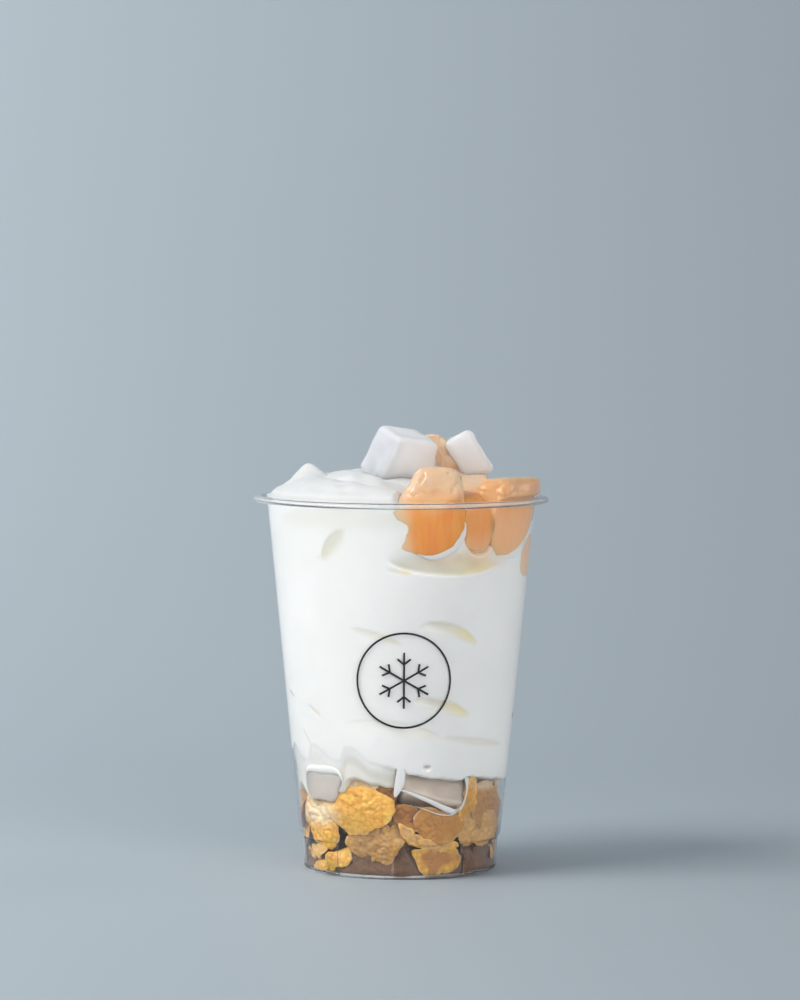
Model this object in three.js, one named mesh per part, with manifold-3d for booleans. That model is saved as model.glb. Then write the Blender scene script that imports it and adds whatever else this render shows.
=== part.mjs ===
// A dessert cup: soft ice cream over cornflakes in a clear plastic cup, with panna cotta cubes and peach.
// Millimetres, +Z up. The origin is on the cup's axis, on the surface that it stands on. The front is -Y.
// A piece is shaped as if it lay at the front and is then turned round the axis: its x runs round the
// cup, its y inwards and its z up, and turns are in degrees, growing from the front (-Y) towards +X.
import * as THREE from "three";
import { ConvexGeometry } from "three/addons/geometries/ConvexGeometry.js";
import { mergeVertices } from "three/addons/utils/BufferGeometryUtils.js";
import Module from "manifold-3d";

const wasm = await Module();
wasm.setup();

// ---- driving dimensions ----
const RIM_R = 46; // outer radius of the rolled rim
const CUP_H = 116.4;
const WALL = 0.6; // plastic thickness
const WALL_TOP_R = 41.5; // outside of the wall just under the rim
const WALL_TOP_Z = 113.6;
const SHOULDER_R = 31.3; // outside of the wall at the stacking step
const SHOULDER_Z = 11.3;
const FOOT_R = 30.5;
const FOOT_TOP_Z = 10.3;
const RING_OUT_R = 28.6; // the flat ring that the cup stands on
const RING_IN_R = 25.6;
const PANEL_Z = 2.2; // underside of the raised base panel
const LUGS = 8; // upright dents round the foot
const LUG_DEPTH = 0.7;
const GAP = 0.35; // clearance between neighbours
const CUP_SIDES = 64;
const CREAM_SIDES = 54;
const HEAP_SIDES = 24;
const COIL_PITCH = 14; // from one coil of ice cream to the next, on top
const FLAKE_THICK = 1.3;

const FLOOR_Z = PANEL_Z + WALL; // the cup's floor inside
const BRIM_R = WALL_TOP_R - WALL; // inside of the wall just under the rim

const rad = THREE.MathUtils.degToRad;
const smooth = (a, b, x) => {
  const t = THREE.MathUtils.clamp((x - a) / (b - a), 0, 1);
  return t * t * (3 - 2 * t);
};
const bell = (x, width) => Math.exp(-((x / width) ** 2));
const turnBetween = (a, b) => ((a - b + 540) % 360) - 180;
const around = (turn, r, z) => new THREE.Vector3(r * Math.sin(rad(turn)), -r * Math.cos(rad(turn)), z);
const onAxis = (z) => new THREE.Vector3(0, 0, z);
const circle = (sides, point) => Array.from({ length: sides }, (_, j) => point((360 * j) / sides, j));

// Inside radius of the cup's conical wall at height z
const wallInside = (z) =>
  SHOULDER_R - WALL + ((WALL_TOP_R - SHOULDER_R) * (z - SHOULDER_Z)) / (WALL_TOP_Z - SHOULDER_Z);

// ---- making and joining solids ----
// A closed surface: a first pole, rings with the same number of points, and a last pole
function closedGrid(first, rings, last) {
  const n = rings[0].length;
  const points = [first, ...rings.flat(), last];
  const at = (i, j) => 1 + i * n + (j % n);
  const end = rings.length - 1;
  const index = [];
  for (let j = 0; j < n; j++) {
    index.push(0, at(0, j + 1), at(0, j));
    for (let i = 0; i < end; i++) {
      index.push(at(i, j), at(i, j + 1), at(i + 1, j + 1));
      index.push(at(i, j), at(i + 1, j + 1), at(i + 1, j));
    }
    index.push(points.length - 1, at(end, j), at(end, j + 1));
  }
  const geometry = new THREE.BufferGeometry().setFromPoints(points);
  geometry.setIndex(index);
  return geometry;
}

// A body for joining and cutting, from a closed geometry
function solid(geometry) {
  const bare = geometry.clone();
  bare.deleteAttribute("normal");
  bare.deleteAttribute("uv");
  const merged = mergeVertices(bare, 1e-4);
  const vertProperties = new Float32Array(merged.attributes.position.array);
  const triVerts = new Uint32Array(merged.index.array);
  return new wasm.Manifold(new wasm.Mesh({ numProp: 3, vertProperties, triVerts }));
}

// The largest piece of a body, without loose scraps
const largest = (body) => body.decompose().sort((a, b) => b.volume() - a.volume())[0];

function geometryOf(body) {
  const mesh = body.getMesh();
  const geometry = new THREE.BufferGeometry();
  geometry.setAttribute("position", new THREE.BufferAttribute(new Float32Array(mesh.vertProperties), 3));
  geometry.setIndex(new THREE.BufferAttribute(new Uint32Array(mesh.triVerts), 1));
  return geometry.toNonIndexed();
}

// ---- cup ----
// Outline from the underside, up the outside, over the rolled rim and down inside to the floor
const cupOutline = [
  [24, PANEL_Z],
  [RING_IN_R, 0],
  [RING_OUT_R, 0],
  [30, 0.9],
  [FOOT_R, FOOT_TOP_Z],
  [SHOULDER_R, SHOULDER_Z],
  [WALL_TOP_R, WALL_TOP_Z],
  [42, 115.2],
  [44.2, 115.6],
  [45, 114.4],
  [45.8, 114.6],
  [RIM_R, 115.4],
  [45.2, 116.1],
  [44, CUP_H],
  [42, 116.3],
  [41.2, 115.3],
  [BRIM_R, WALL_TOP_Z],
  [SHOULDER_R - WALL, SHOULDER_Z],
  [FOOT_R - WALL, FOOT_TOP_Z],
  [29.5, 1.6],
  [28.3, WALL],
  [25.8, WALL],
  [24.2, FLOOR_Z],
];

// How far the foot is dented at this turn and height
function lugDent(turn, z) {
  const step = 360 / LUGS;
  const off = turnBetween(turn, Math.round(turn / step) * step);
  return LUG_DEPTH * bell(off, 3.5) * smooth(0.9, 1.6, z) * smooth(SHOULDER_Z, FOOT_TOP_Z, z);
}

function cupGeometry() {
  const rings = cupOutline.map(([r, z]) => circle(CUP_SIDES, (turn) => around(turn, r - lugDent(turn, z), z)));
  return closedGrid(onAxis(PANEL_Z), rings, onAxis(FLOOR_Z));
}

// A turned body from its outline, [radius, height] from the bottom up
function turnedBody(outline, sides) {
  const rings = outline.map(([r, z]) => circle(sides, (turn) => around(turn, r, z)));
  return solid(closedGrid(onAxis(outline[0][1]), rings, onAxis(outline.at(-1)[1])));
}

// The space inside the foot and the shoulder that the contents may fill
const footRoom = [
  [24.2, FLOOR_Z + GAP],
  [26.2, WALL + GAP],
  [27.6, WALL + GAP],
  [28.6, 2],
  [FOOT_R - WALL - LUG_DEPTH - GAP, FOOT_TOP_Z],
  [SHOULDER_R - WALL - GAP, SHOULDER_Z + 0.8],
];
// The space for a loose piece: inside the wall, and a little wider over the rim
const pieceRoom = [
  ...footRoom,
  [BRIM_R - GAP, WALL_TOP_Z],
  [BRIM_R - GAP, CUP_H + GAP],
  [RIM_R - 2, CUP_H + GAP],
  [RIM_R - 2, CUP_H + 40],
];

// ---- panna cotta cubes ----
// A hand-cut block: one corner and the three edges that leave it. Each true corner is pushed a little
// and rounded, and the block is the hull of the eight. A nudge moves one corner, 0 to 7, on its own.
const CUBE_ROUND = 1.5;
const CUBE_PUSH = 0.4;
function cubeGeometry({ corner, edges, nudge = [0, [0, 0, 0]] }, grow) {
  const [a, b, c] = edges.map((e) => new THREE.Vector3(...e));
  const dirs = [a, b, c].map((e) => e.clone().normalize());
  const points = [];
  for (const i of [0, 1])
    for (const j of [0, 1])
      for (const k of [0, 1]) {
        const n = 4 * i + 2 * j + k;
        const sides = [i, j, k].map((t) => 2 * t - 1);
        const p = new THREE.Vector3(...corner).addScaledVector(a, i).addScaledVector(b, j).addScaledVector(c, k);
        if (n === nudge[0]) p.add(new THREE.Vector3(...nudge[1]));
        dirs.forEach((d, m) => p.addScaledVector(d, CUBE_PUSH * Math.sin(2.4 * n + 1.7 * m) - sides[m] * CUBE_ROUND));
        const reach = CUBE_ROUND + grow;
        dirs.forEach((d, m) => points.push(p.clone().addScaledVector(d, sides[m] * reach)));
        const out = dirs.reduce((sum, d, m) => sum.addScaledVector(d, sides[m]), new THREE.Vector3());
        points.push(p.clone().addScaledVector(out.normalize(), reach));
      }
  return new ConvexGeometry(points);
}

const cubes = {
  panna_cotta_top_left: {
    corner: [-0.6, -15.4, 134.6],
    edges: [[12.6, 6, -1.9], [-6.4, 4, -13.8], [-6.7, 9, 4.2]],
    nudge: [6, [4.6, 1, 2.6]],
  },
  panna_cotta_top_right: {
    corner: [13.7, -5.4, 131.7],
    edges: [[9.2, 1.4, 4.4], [6.8, 1.6, -11.4], [-1, 10.6, 1.5]],
    nudge: [2, [3, 0, 0.9]],
  },
  panna_cotta_low_left: {
    turn: -48,
    corner: [-7.4, -33.2, 32.9],
    edges: [[13.8, 0.4, 0.2], [0.6, 1, -10.4], [-3, 10.4, 1]],
  },
  panna_cotta_low_right: {
    turn: 18.5,
    corner: [-9.5, -31.8, 27.6],
    edges: [[19.8, 0.5, -5.2], [0.8, 4, 6.6], [1.3, 9.5, -3.8]],
    nudge: [6, [0.8, 0, 1.6]],
  },
  panna_cotta_low_side: { turn: 116, corner: [-7, -33.2, 34.2], edges: [[14, 1, -3.4], [2, 1, -11], [0.5, 10.5, 1]] },
  panna_cotta_low_back: { turn: 176, corner: [-8, -33, 31], edges: [[15, 1, 3], [-1.6, 2, -10.4], [1, 11, 0]] },
  panna_cotta_low_far: { turn: -126, corner: [-7, -33, 34], edges: [[13.5, 1, -4.6], [3, 2.6, -9.8], [-1, 10, 2]] },
};

// ---- peach pieces ----
// A wet wedge of fruit, given by level sections from the bottom up: [z, left, right, outer y, inner y].
// Each section is a rounded oblong, and the ends close on a pole.
const PEACH_SIDES = 12;
function peachGeometry({ sections }, grow) {
  const soft = (t) => Math.sign(t) * Math.abs(t) ** 0.7;
  const last = sections.length - 1;
  const rings = sections.map(([z, x0, x1, y0, y1], i) =>
    circle(PEACH_SIDES, (turn) => {
      const x = (x0 + x1) / 2 + ((x1 - x0) / 2 + grow) * soft(Math.cos(rad(turn)));
      const y = (y0 + y1) / 2 + ((y1 - y0) / 2 + grow) * soft(Math.sin(rad(turn)));
      const off = i === 0 ? -grow : i === last ? grow : 0;
      return new THREE.Vector3(x, y, z + off);
    }),
  );
  const pole = (i, off) => {
    const [z, x0, x1, y0, y1] = sections[i];
    return new THREE.Vector3((x0 + x1) / 2, (y0 + y1) / 2, z + off);
  };
  return closedGrid(pole(0, -0.5 - grow), rings, pole(last, 0.5 + grow));
}

const peaches = {
  peach_front: {
    sections: [
      [100.4, 6, 10.5, -40, -33],
      [102, 2.4, 15, -41, -30],
      [105, 0.6, 18.2, -42, -28],
      [109, 1.2, 19, -42, -27],
      [113.5, -3.4, 19.3, -42, -26.5],
      [119, 0.4, 19.2, -38.6, -26],
      [124, 3.4, 18.2, -36.6, -26.5],
      [126, 6.5, 15.5, -34.6, -29],
    ],
  },
  peach_right: {
    turn: 61,
    sections: [
      [99.6, -9.5, -4, -40, -34],
      [102, -11.6, 3.2, -41, -31],
      [105, -12.4, 7.6, -42, -29],
      [109, -12.8, 12.4, -42, -28],
      [113.5, -13, 13.2, -42, -27],
      [117.6, -12.6, 15.6, -40.6, -27],
      [120.6, -11, 15.2, -40, -28],
      [122.4, -8, 12.4, -38.6, -30],
    ],
  },
  peach_low: {
    turn: 36,
    sections: [
      [101.6, -2.4, 3, -37.5, -32],
      [103.5, -4.6, 4.8, -38.6, -29],
      [108, -5.6, 5.6, -38.8, -27],
      [114, -6, 5, -39, -26],
      [117.6, -4.6, 3.6, -37.6, -27],
      [118.8, -2.4, 2, -36, -29],
    ],
  },
  peach_middle: {
    sections: [
      [112, 16.5, 24, -20, -12],
      [115, 14, 27, -24, -9],
      [119, 12.5, 27.4, -25, -8],
      [123, 10.5, 25.4, -22, -7],
      [127.5, 8.6, 20, -17, -5],
      [131.5, 7.6, 15.8, -11, -2],
      [134.6, 7.3, 10.8, -6.5, -1],
    ],
  },
  peach_side: {
    turn: 81,
    sections: [
      [91.6, -4, 4, -39, -33],
      [94, -8.4, 7.6, -41, -30],
      [98.5, -9.6, 9.4, -42, -28.5],
      [103, -8, 10.2, -42, -29],
      [105, -3.4, 7, -40, -32],
    ],
  },
};

// ---- cornflakes ----
// A thin curled flake, x and z along it and y through it: two like faces, a ragged edge between them
const FLAKE_SIDES = 8;
function flakeGeometry({ wide, tall, curl = 0.04, ragged = 0 }) {
  const point = (share, turn, face) => {
    const t = rad(turn);
    const edge = 1 + 0.1 * Math.sin(2 * t + ragged) + 0.1 * Math.sin(3 * t + 2.1 * ragged);
    const x = (wide / 2) * share * edge * Math.cos(t);
    const z = (tall / 2) * share * edge * Math.sin(t);
    const y = curl * (0.5 * x * x + 0.35 * z * z) + 0.5 * Math.sin(0.5 * x + ragged);
    return new THREE.Vector3(x, y - (face * FLAKE_THICK) / 2, z);
  };
  const ring = (share, face) => circle(FLAKE_SIDES, (turn) => point(share, turn, face));
  const rings = [ring(1, -0.7), ring(1, 0.7), ring(0.55, 1)];
  return closedGrid(point(0, 0, -1), rings, point(0, 0, 1));
}

// The flakes that show at the front, as they lie
const frontFlakes = [
  { wide: 22, tall: 15, turn: -23, r: 29.4, z: 21.4, spin: -6, tip: -10, curl: 0.045, ragged: 0.3 },
  { wide: 22, tall: 12, turn: -12, r: 27.6, z: 9.8, spin: 6, tip: 10, curl: 0.03, ragged: 1.7 },
  { wide: 17, tall: 12, turn: 24, r: 28.6, z: 15.2, spin: 18, tip: 12, curl: 0.04, ragged: 2.9 },
  { wide: 12, tall: 19, turn: 44, r: 28.6, z: 20.4, spin: 16, tip: 0, yaw: 40, curl: 0.05, ragged: 4.1 },
  { wide: 16, tall: 18, turn: 64, r: 29.4, z: 19.4, spin: -6, tip: 0, curl: 0.03, ragged: 5.2 },
  { wide: 16, tall: 10, turn: 24, r: 27, z: 6.6, spin: 8, tip: -8, curl: 0.07, ragged: 0.9 },
  { wide: 14, tall: 16, turn: -60, r: 29.2, z: 16, spin: 12, tip: 5, yaw: -14, curl: 0.05, ragged: 3.6 },
  { wide: 15, tall: 10, turn: -46, r: 27, z: 6.8, spin: -16, tip: 10, curl: 0.08, ragged: 2.2 },
];

// The rest, in tiers round the back: slow waves turn, tip and size them, so that no two are alike
const backTiers = [
  { z: 6.8, r: 26.6, from: 48, to: 292, count: 7 },
  { z: 13.8, r: 27.8, from: 88, to: 284, count: 6 },
  { z: 20, r: 28.4, from: 92, to: 276, count: 5 },
];
const backFlakes = backTiers.flatMap(({ z, r, from, to, count }, tier) =>
  Array.from({ length: count }, (_, k) => {
    const wave = Math.sin(2.7 * k + 1.9 * tier);
    const other = Math.cos(1.9 * k + 3.1 * tier);
    return {
      wide: 18 + 3 * wave,
      tall: (tier ? 13 : 9.5) + 1.5 * other,
      turn: from + ((to - from) * (k + 0.5)) / count + 4 * other,
      r: r + 0.4 * wave,
      z: z + other,
      spin: 24 * wave,
      tip: 14 * other,
      yaw: 10 * wave,
      curl: 0.045 + 0.015 * other,
      ragged: k + 2 * tier,
    };
  }),
);

function placedFlake({ turn, r, z, spin, tip, yaw = 0, ...shape }) {
  const flake = flakeGeometry(shape).rotateX(rad(tip)).rotateY(rad(spin)).rotateZ(rad(yaw));
  return flake.translate(0, -r, z).rotateZ(rad(turn));
}

// The heap: a lower core out of sight, with the flakes that show joined on round it
const CORE_TOP_Z = 24.6;
const HEAP_TOP_Z = 28; // of the flakes at the wall
const CREAM_FOOT_R = 23.4; // side of the ice cream below HEAP_TOP_Z
const heapRoom = [
  ...footRoom,
  [wallInside(HEAP_TOP_Z) - GAP, HEAP_TOP_Z],
  [CREAM_FOOT_R + 2 * GAP, HEAP_TOP_Z],
  [CREAM_FOOT_R + 2 * GAP, CORE_TOP_Z],
];
function flakeHeap() {
  const outline = [
    [20, FLOOR_Z + GAP + 0.1],
    [27, 4.6],
    [27.6, 14],
    [27, 19.6],
    [18, 23.6],
  ];
  const rings = outline.map(([r, z], i) =>
    circle(16, (turn) => around(turn, r + (i ? 0.7 * Math.sin(rad(5 * turn) + 2 * i) : 0), z)),
  );
  const core = solid(closedGrid(onAxis(outline[0][1]), rings, onAxis(CORE_TOP_Z - GAP)));
  const heap = [...frontFlakes, ...backFlakes].reduce((body, f) => body.add(solid(placedFlake(f))), core);
  return heap.intersect(turnedBody(heapRoom, HEAP_SIDES));
}

// ---- ice cream ----
// Hollows where the coils don't reach the wall: turn and height of the middle, half length along the
// coil, half width across it, rise of the coil in degrees, depth
const frontHollows = [
  { turn: -31, z: 103, long: 4.5, wide: 2.8, rise: 50, deep: 1.6 },
  { turn: 22, z: 97.4, long: 19, wide: 2.8, rise: -2, deep: 2.4 },
  { turn: -16, z: 75.6, long: 15, wide: 2, rise: -25, deep: 0.9 },
  { turn: 24, z: 76.6, long: 12, wide: 2.4, rise: -19, deep: 1.8 },
  { turn: 21, z: 53.8, long: 12, wide: 2.2, rise: -14, deep: 1.6 },
  { turn: 4, z: 45.6, long: 17, wide: 3, rise: -10, deep: 1.5 },
];
// Round the back they follow the same falling coils
const backHollows = Array.from({ length: 11 }, (_, k) => ({
  turn: 96 + ((k * 67) % 178),
  z: 46 + ((k * 23) % 58),
  long: 10 + 4 * Math.sin(1.7 * k),
  wide: 2.4 + 0.4 * Math.cos(k),
  rise: -16 + 6 * Math.sin(2.3 * k),
  deep: 1.5 + 0.4 * Math.cos(1.3 * k),
}));
const hollows = [...frontHollows, ...backHollows];

function hollowDepth(turn, z) {
  const depths = hollows.map((h) => {
    const x = rad(turnBetween(turn, h.turn)) * wallInside(z);
    const y = z - h.z;
    const c = Math.cos(rad(h.rise));
    const s = Math.sin(rad(h.rise));
    const along = (x * c + y * s) / h.long;
    return h.deep * Math.exp(-(along ** 4)) * bell(y * c - x * s, h.wide);
  });
  return Math.max(...depths);
}

// Height where the ice cream leaves the wall: it falls to the right, with notches between hanging fingers
const notches = [
  { turn: -54, wide: 6, up: 3.5 },
  { turn: -25, wide: 9, up: 6 },
  { turn: 112, wide: 9, up: 5 },
  { turn: 190, wide: 8, up: 5 },
  { turn: -130, wide: 8, up: 4 },
];
const leavesWall = (turn) =>
  notches.reduce((z, n) => z + n.up * bell(turnBetween(turn, n.turn), n.wide), 34.2 - 2.4 * Math.sin(rad(turn)));

const creamSide = (turn, z) => {
  const side = wallInside(z) - GAP - hollowDepth(turn, z);
  const edge = leavesWall(turn);
  return THREE.MathUtils.lerp(CREAM_FOOT_R, side, smooth(edge - 3.4, edge, z));
};

// Height of the top: a dome laid in coils, low at the right under the fruit, a pulled tip at the left
const DOME = { edge: 115.8, rise: 9.2, groove: 1.9 };
const TIP = { x: -29.5, y: 5.2, wide: 4.4, high: 3.6 };
const DIP = { x: 26, y: -6, wide: 24, deep: 6.5 };
function creamTop(turn, r) {
  const { x, y } = around(turn, r, 0);
  const coil = r / COIL_PITCH - turnBetween(turn, -72) / 360 + 0.25;
  const lane = 2 * (coil - Math.floor(coil)) - 1; // -1 and 1 in the grooves, 0 on a crest
  const ridge = Math.sqrt(1 - 0.96 * lane * lane);
  const fade = smooth(BRIM_R, 35, r) * smooth(2, 9, r);
  const dome = DOME.rise * Math.sqrt(1 - (r / BRIM_R) ** 2);
  const tip = TIP.high * bell(Math.hypot(x - TIP.x, y - TIP.y), TIP.wide);
  const dip = DIP.deep * bell(Math.hypot(x - DIP.x, y - DIP.y), DIP.wide) * smooth(BRIM_R, 36, r);
  return DOME.edge + dome - DOME.groove * (1 - ridge) * fade + tip - dip;
}

function creamGeometry() {
  const sideRows = 18;
  const topShares = [0.97, 0.91, 0.83, 0.74, 0.64, 0.54, 0.43, 0.31, 0.16];
  const brim = BRIM_R - GAP;
  const footZ = CORE_TOP_Z + GAP + 0.1;
  const foot = [[0.94 * CREAM_FOOT_R, footZ], [CREAM_FOOT_R, footZ + 1]].map(([r, z]) =>
    circle(CREAM_SIDES, (turn) => around(turn, r, z)),
  );
  const side = Array.from({ length: sideRows + 1 }, (_, i) =>
    circle(CREAM_SIDES, (turn) => {
      const z = THREE.MathUtils.lerp(HEAP_TOP_Z + GAP, creamTop(turn, brim), i / sideRows);
      return around(turn, creamSide(turn, Math.min(z, WALL_TOP_Z)), z);
    }),
  );
  const top = topShares.map((share) => {
    const r = share * brim;
    return circle(CREAM_SIDES, (turn) => around(turn, r, creamTop(turn, r)));
  });
  return closedGrid(onAxis(footZ), [...foot, ...side, ...top], onAxis(creamTop(0, 0)));
}

// ---- fitting the pieces together ----
const room = turnedBody(pieceRoom, CUP_SIDES);
const pieces = {}; // fitted bodies, by name
const grown = []; // each loose piece again, larger by the gap, to cut its neighbours

function fit(name, make, spec) {
  const turned = (grow) => solid(make(spec, grow).rotateZ(rad(spec.turn ?? 0)));
  const own = turned(0).intersect(room);
  pieces[name] = largest(grown.reduce((body, other) => body.subtract(other), own));
  grown.push(turned(GAP));
}
for (const [name, spec] of Object.entries(cubes)) fit(name, cubeGeometry, spec);
for (const [name, spec] of Object.entries(peaches)) fit(name, peachGeometry, spec);

const cutByPieces = (body) => largest(grown.reduce((rest, other) => rest.subtract(other), body));
pieces.cornflakes = cutByPieces(flakeHeap());
pieces.ice_cream = cutByPieces(solid(creamGeometry()));

// ---- the model ----
const finishes = {
  clear: new THREE.MeshStandardMaterial({ color: 0xe8eef0, roughness: 0.08, transparent: true, opacity: 0.3 }),
  ice: new THREE.MeshStandardMaterial({ color: 0xf6f5f0, roughness: 0.45 }),
  panna: new THREE.MeshStandardMaterial({ color: 0xe4dfe0, roughness: 0.25 }),
  peach: new THREE.MeshStandardMaterial({ color: 0xeaa566, roughness: 0.3 }),
  cornflakes: new THREE.MeshStandardMaterial({ color: 0xd79a4a, roughness: 0.75 }),
};

const dessert = new THREE.Group();
function addPiece(name, geometry, material) {
  const mesh = new THREE.Mesh(geometry, material);
  mesh.name = name;
  dessert.add(mesh);
}
addPiece("cup", cupGeometry(), finishes.clear);
for (const [name, body] of Object.entries(pieces)) addPiece(name, geometryOf(body), finishes[name.split("_")[0]]);

export default dessert;
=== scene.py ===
import math

import bpy
import numpy as np
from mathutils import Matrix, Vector


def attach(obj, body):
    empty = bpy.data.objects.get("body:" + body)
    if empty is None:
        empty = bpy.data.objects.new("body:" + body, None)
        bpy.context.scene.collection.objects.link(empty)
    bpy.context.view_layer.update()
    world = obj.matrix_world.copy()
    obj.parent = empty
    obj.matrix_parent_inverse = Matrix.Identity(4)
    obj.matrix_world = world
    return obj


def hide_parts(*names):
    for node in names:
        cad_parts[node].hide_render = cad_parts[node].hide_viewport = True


# A dessert cup: soft ice cream over cornflakes in a clear plastic cup, with panna cotta cubes and peach.
# Lengths are in millimetres until fillMesh, and in metres in the materials and the studio. The front is -Y.
# A turn is in degrees round the cup's axis, growing from the front towards +X. A loose piece is shaped at
# the front, with x round the cup, y inwards and z up, and is then turned into its place.
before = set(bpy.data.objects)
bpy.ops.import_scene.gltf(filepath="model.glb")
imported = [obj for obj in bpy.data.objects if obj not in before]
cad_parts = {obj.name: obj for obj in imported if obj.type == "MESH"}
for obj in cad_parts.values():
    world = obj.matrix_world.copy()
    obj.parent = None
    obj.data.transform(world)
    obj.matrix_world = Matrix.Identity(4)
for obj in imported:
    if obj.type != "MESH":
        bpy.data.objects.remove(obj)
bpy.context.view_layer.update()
toMetres = 0.001

cup = {
    "outline": [  # radius and height, from the underside, over the rim and down inside to the floor
        (24, 2.2), (25.6, 0), (28.6, 0), (30, 0.9), (30.5, 10.3), (31.3, 11.3), (41.5, 113.6),
        (42, 115.2), (44.2, 115.6), (45, 114.4), (45.8, 114.6), (46, 115.4), (45.2, 116.1),
        (44, 116.4), (42, 116.3), (41.2, 115.3), (40.9, 113.6), (30.7, 11.3), (29.9, 10.3),
        (29.5, 1.6), (28.3, 0.6), (25.8, 0.6), (24.2, 2.8),
    ],
    "rounding": 0.55,  # most that a corner of the outline is cut back
    "roundSteps": 5,
    "columns": 256,
    "lugs": 8,  # upright dents round the foot
    "lugDepth": 0.7,
    "lugWide": 5.5,
    "lugSide": 1.6,
    "lugFoot": (0.9, 1.6),  # heights between which the dents begin, and then end
    "lugTop": (11.3, 10.3),
    "thick": 0.6,  # of the wall
    "undersideZ": 2.2,
    "floorZ": 2.8,
    "frost": (114.2, 115.4),  # the rolled rim is a little rough from this height up
}
brimHeight = 113.6  # the straight wall ends here
pressedBelow = (116.6, 114)  # pieces touch the wall below these heights, and are free of it above them
insideRadii = [28.3, 29.5, 29.9, 30.7, 40.9, 41.2, 41.7, 43.4, 44]  # room for the contents, by height
insideHeights = [0.6, 1.6, 10.3, 11.3, brimHeight, 115.3, 116.4, 117.6, 160]
noTriangles = np.zeros((0, 3), int)


def smooth(a, b, x):  # 0 at a, 1 at b, level at both ends: 3t^2 - 2t^3
    t = np.clip((x - a) / (b - a), 0, 1)
    return t * t * (3 - 2 * t)


def bell(x, width):  # 1 at 0, falling as e^-(x/width)^2
    return np.exp(-((x / width) ** 2))


def mix(a, b, share):  # straight from a to b
    return a + (b - a) * share


def turnBetween(a, b):  # a - b, brought to -180..180
    return (a - b + 540) % 360 - 180


def around(turn, r, z):  # a point at this turn, radius and height
    t = np.radians(turn)
    return np.stack(np.broadcast_arrays(r * np.sin(t), -r * np.cos(t), z), -1)


def wallInside(z):  # straight lines between the heights of the cup's inside
    return np.interp(z, insideHeights, insideRadii)


def waves(points, size, seed, count=20):
    # Soft noise of about unit height: sine waves about size long, in random directions, added up
    rng = np.random.default_rng(seed)
    headings = rng.normal(size=(count, 3))
    headings /= np.linalg.norm(headings, axis=1)[:, None]
    lengths = size * rng.uniform(0.7, 1.5, count)
    angles = points @ (2 * math.pi * headings / lengths[:, None]).T + rng.uniform(0, 2 * math.pi, count)
    return np.sin(angles).sum(-1) * math.sqrt(2 / count)


def curveThrough(table, at):
    # A smooth curve through a table's rows: between rows a and b a cubic in t, whose slope at each row is
    # half the step between the rows on its two sides
    low = np.minimum(at.astype(int), len(table) - 2)
    before, after = table[np.maximum(low - 1, 0)], table[np.minimum(low + 2, len(table) - 1)]
    a, b = table[low], table[low + 1]
    t = (at - low)[:, None]
    return 0.5 * (2 * a + (b - before) * t + (2 * before - 5 * a + 4 * b - after) * t**2
                  + (3 * a - before - 3 * b + after) * t**3)


def bandQuads(low, high, columns):  # quads between rows of points whose first numbers are low and high
    here = np.arange(columns)
    beside = (here + 1) % columns
    low, high = low[:, None], high[:, None]
    return np.stack([low + here, low + beside, high + beside, high + here], -1).reshape(-1, 4)


def closedBody(first, rings, last):
    # Rings of points, each joined to the next, and each end closed on a pole
    rows, columns = rings.shape[:2]
    points = np.concatenate([[first], rings.reshape(-1, 3), [last]])
    here = np.arange(columns)
    beside = (here + 1) % columns
    low = 1 + np.arange(rows - 1) * columns
    top = 1 + (rows - 1) * columns
    firstFan = np.stack([0 * here, 1 + beside, 1 + here], -1)
    lastFan = np.stack([0 * here + len(points) - 1, top + here, top + beside], -1)
    return points, bandQuads(low, low + columns, columns), np.concatenate([firstFan, lastFan])


def cappedBody(rings):  # each end closed on the middle of its ring
    return closedBody(rings[0].mean(0), rings, rings[-1].mean(0))


def joinBodies(bodies):  # one body out of several, with each one's numbers moved past those before it
    starts = np.cumsum([0] + [len(b[0]) for b in bodies[:-1]])
    points = np.concatenate([b[0] for b in bodies])
    quads = np.concatenate([b[1] + s for b, s in zip(bodies, starts)])
    triangles = np.concatenate([b[2] + s for b, s in zip(bodies, starts)])
    return points, quads, triangles


def fillMesh(name, body, values):  # a body is points in mm, then quads and triangles of their numbers
    points, quads, triangles = body
    loops = np.concatenate([quads.ravel(), triangles.ravel()]).astype(np.int32)
    quadStarts = 4 * np.arange(len(quads))
    starts = np.concatenate([quadStarts, 4 * len(quads) + 3 * np.arange(len(triangles))])
    mesh = bpy.data.meshes.new(name)
    mesh.vertices.add(len(points))
    mesh.vertices.foreach_set("co", (points * toMetres).astype(np.float32).ravel())
    mesh.loops.add(len(loops))
    mesh.loops.foreach_set("vertex_index", loops)
    mesh.polygons.add(len(starts))
    mesh.polygons.foreach_set("loop_start", starts.astype(np.int32))
    mesh.update(calc_edges=True)
    mesh.validate()
    mesh.shade_smooth()
    for key, numbers in values.items():
        layer = mesh.attributes.new(key, "FLOAT", "POINT")
        layer.data.foreach_set("value", np.broadcast_to(numbers, len(points)).astype(np.float32))
    return mesh


def addObject(name, data):
    made = bpy.data.objects.new(name, data)
    bpy.context.scene.collection.objects.link(made)
    return made


def makePiece(name, body, finish, values, nodes=()):
    mesh = fillMesh(name, body, values)
    mesh.materials.append(finish)
    piece = addObject(name, mesh)
    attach(piece, "root")
    if nodes:
        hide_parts(*nodes)


def pressed(points, reach):
    # Points that would pass through the wall are brought back to reach beyond its inside
    r = np.hypot(points[..., 0], points[..., 1])
    most = wallInside(points[..., 2]) + reach * smooth(*pressedBelow, points[..., 2])
    share = np.minimum(1, most / np.maximum(r, 1e-6))
    return np.concatenate([points[..., :2] * share[..., None], points[..., 2:]], -1)


def turned(points, turn):  # points turned round the cup's axis
    c = math.cos(math.radians(turn))
    s = math.sin(math.radians(turn))
    x, y, z = np.moveaxis(points, -1, 0)
    return np.stack([x * c - y * s, x * s + y * c, z], -1)


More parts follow.
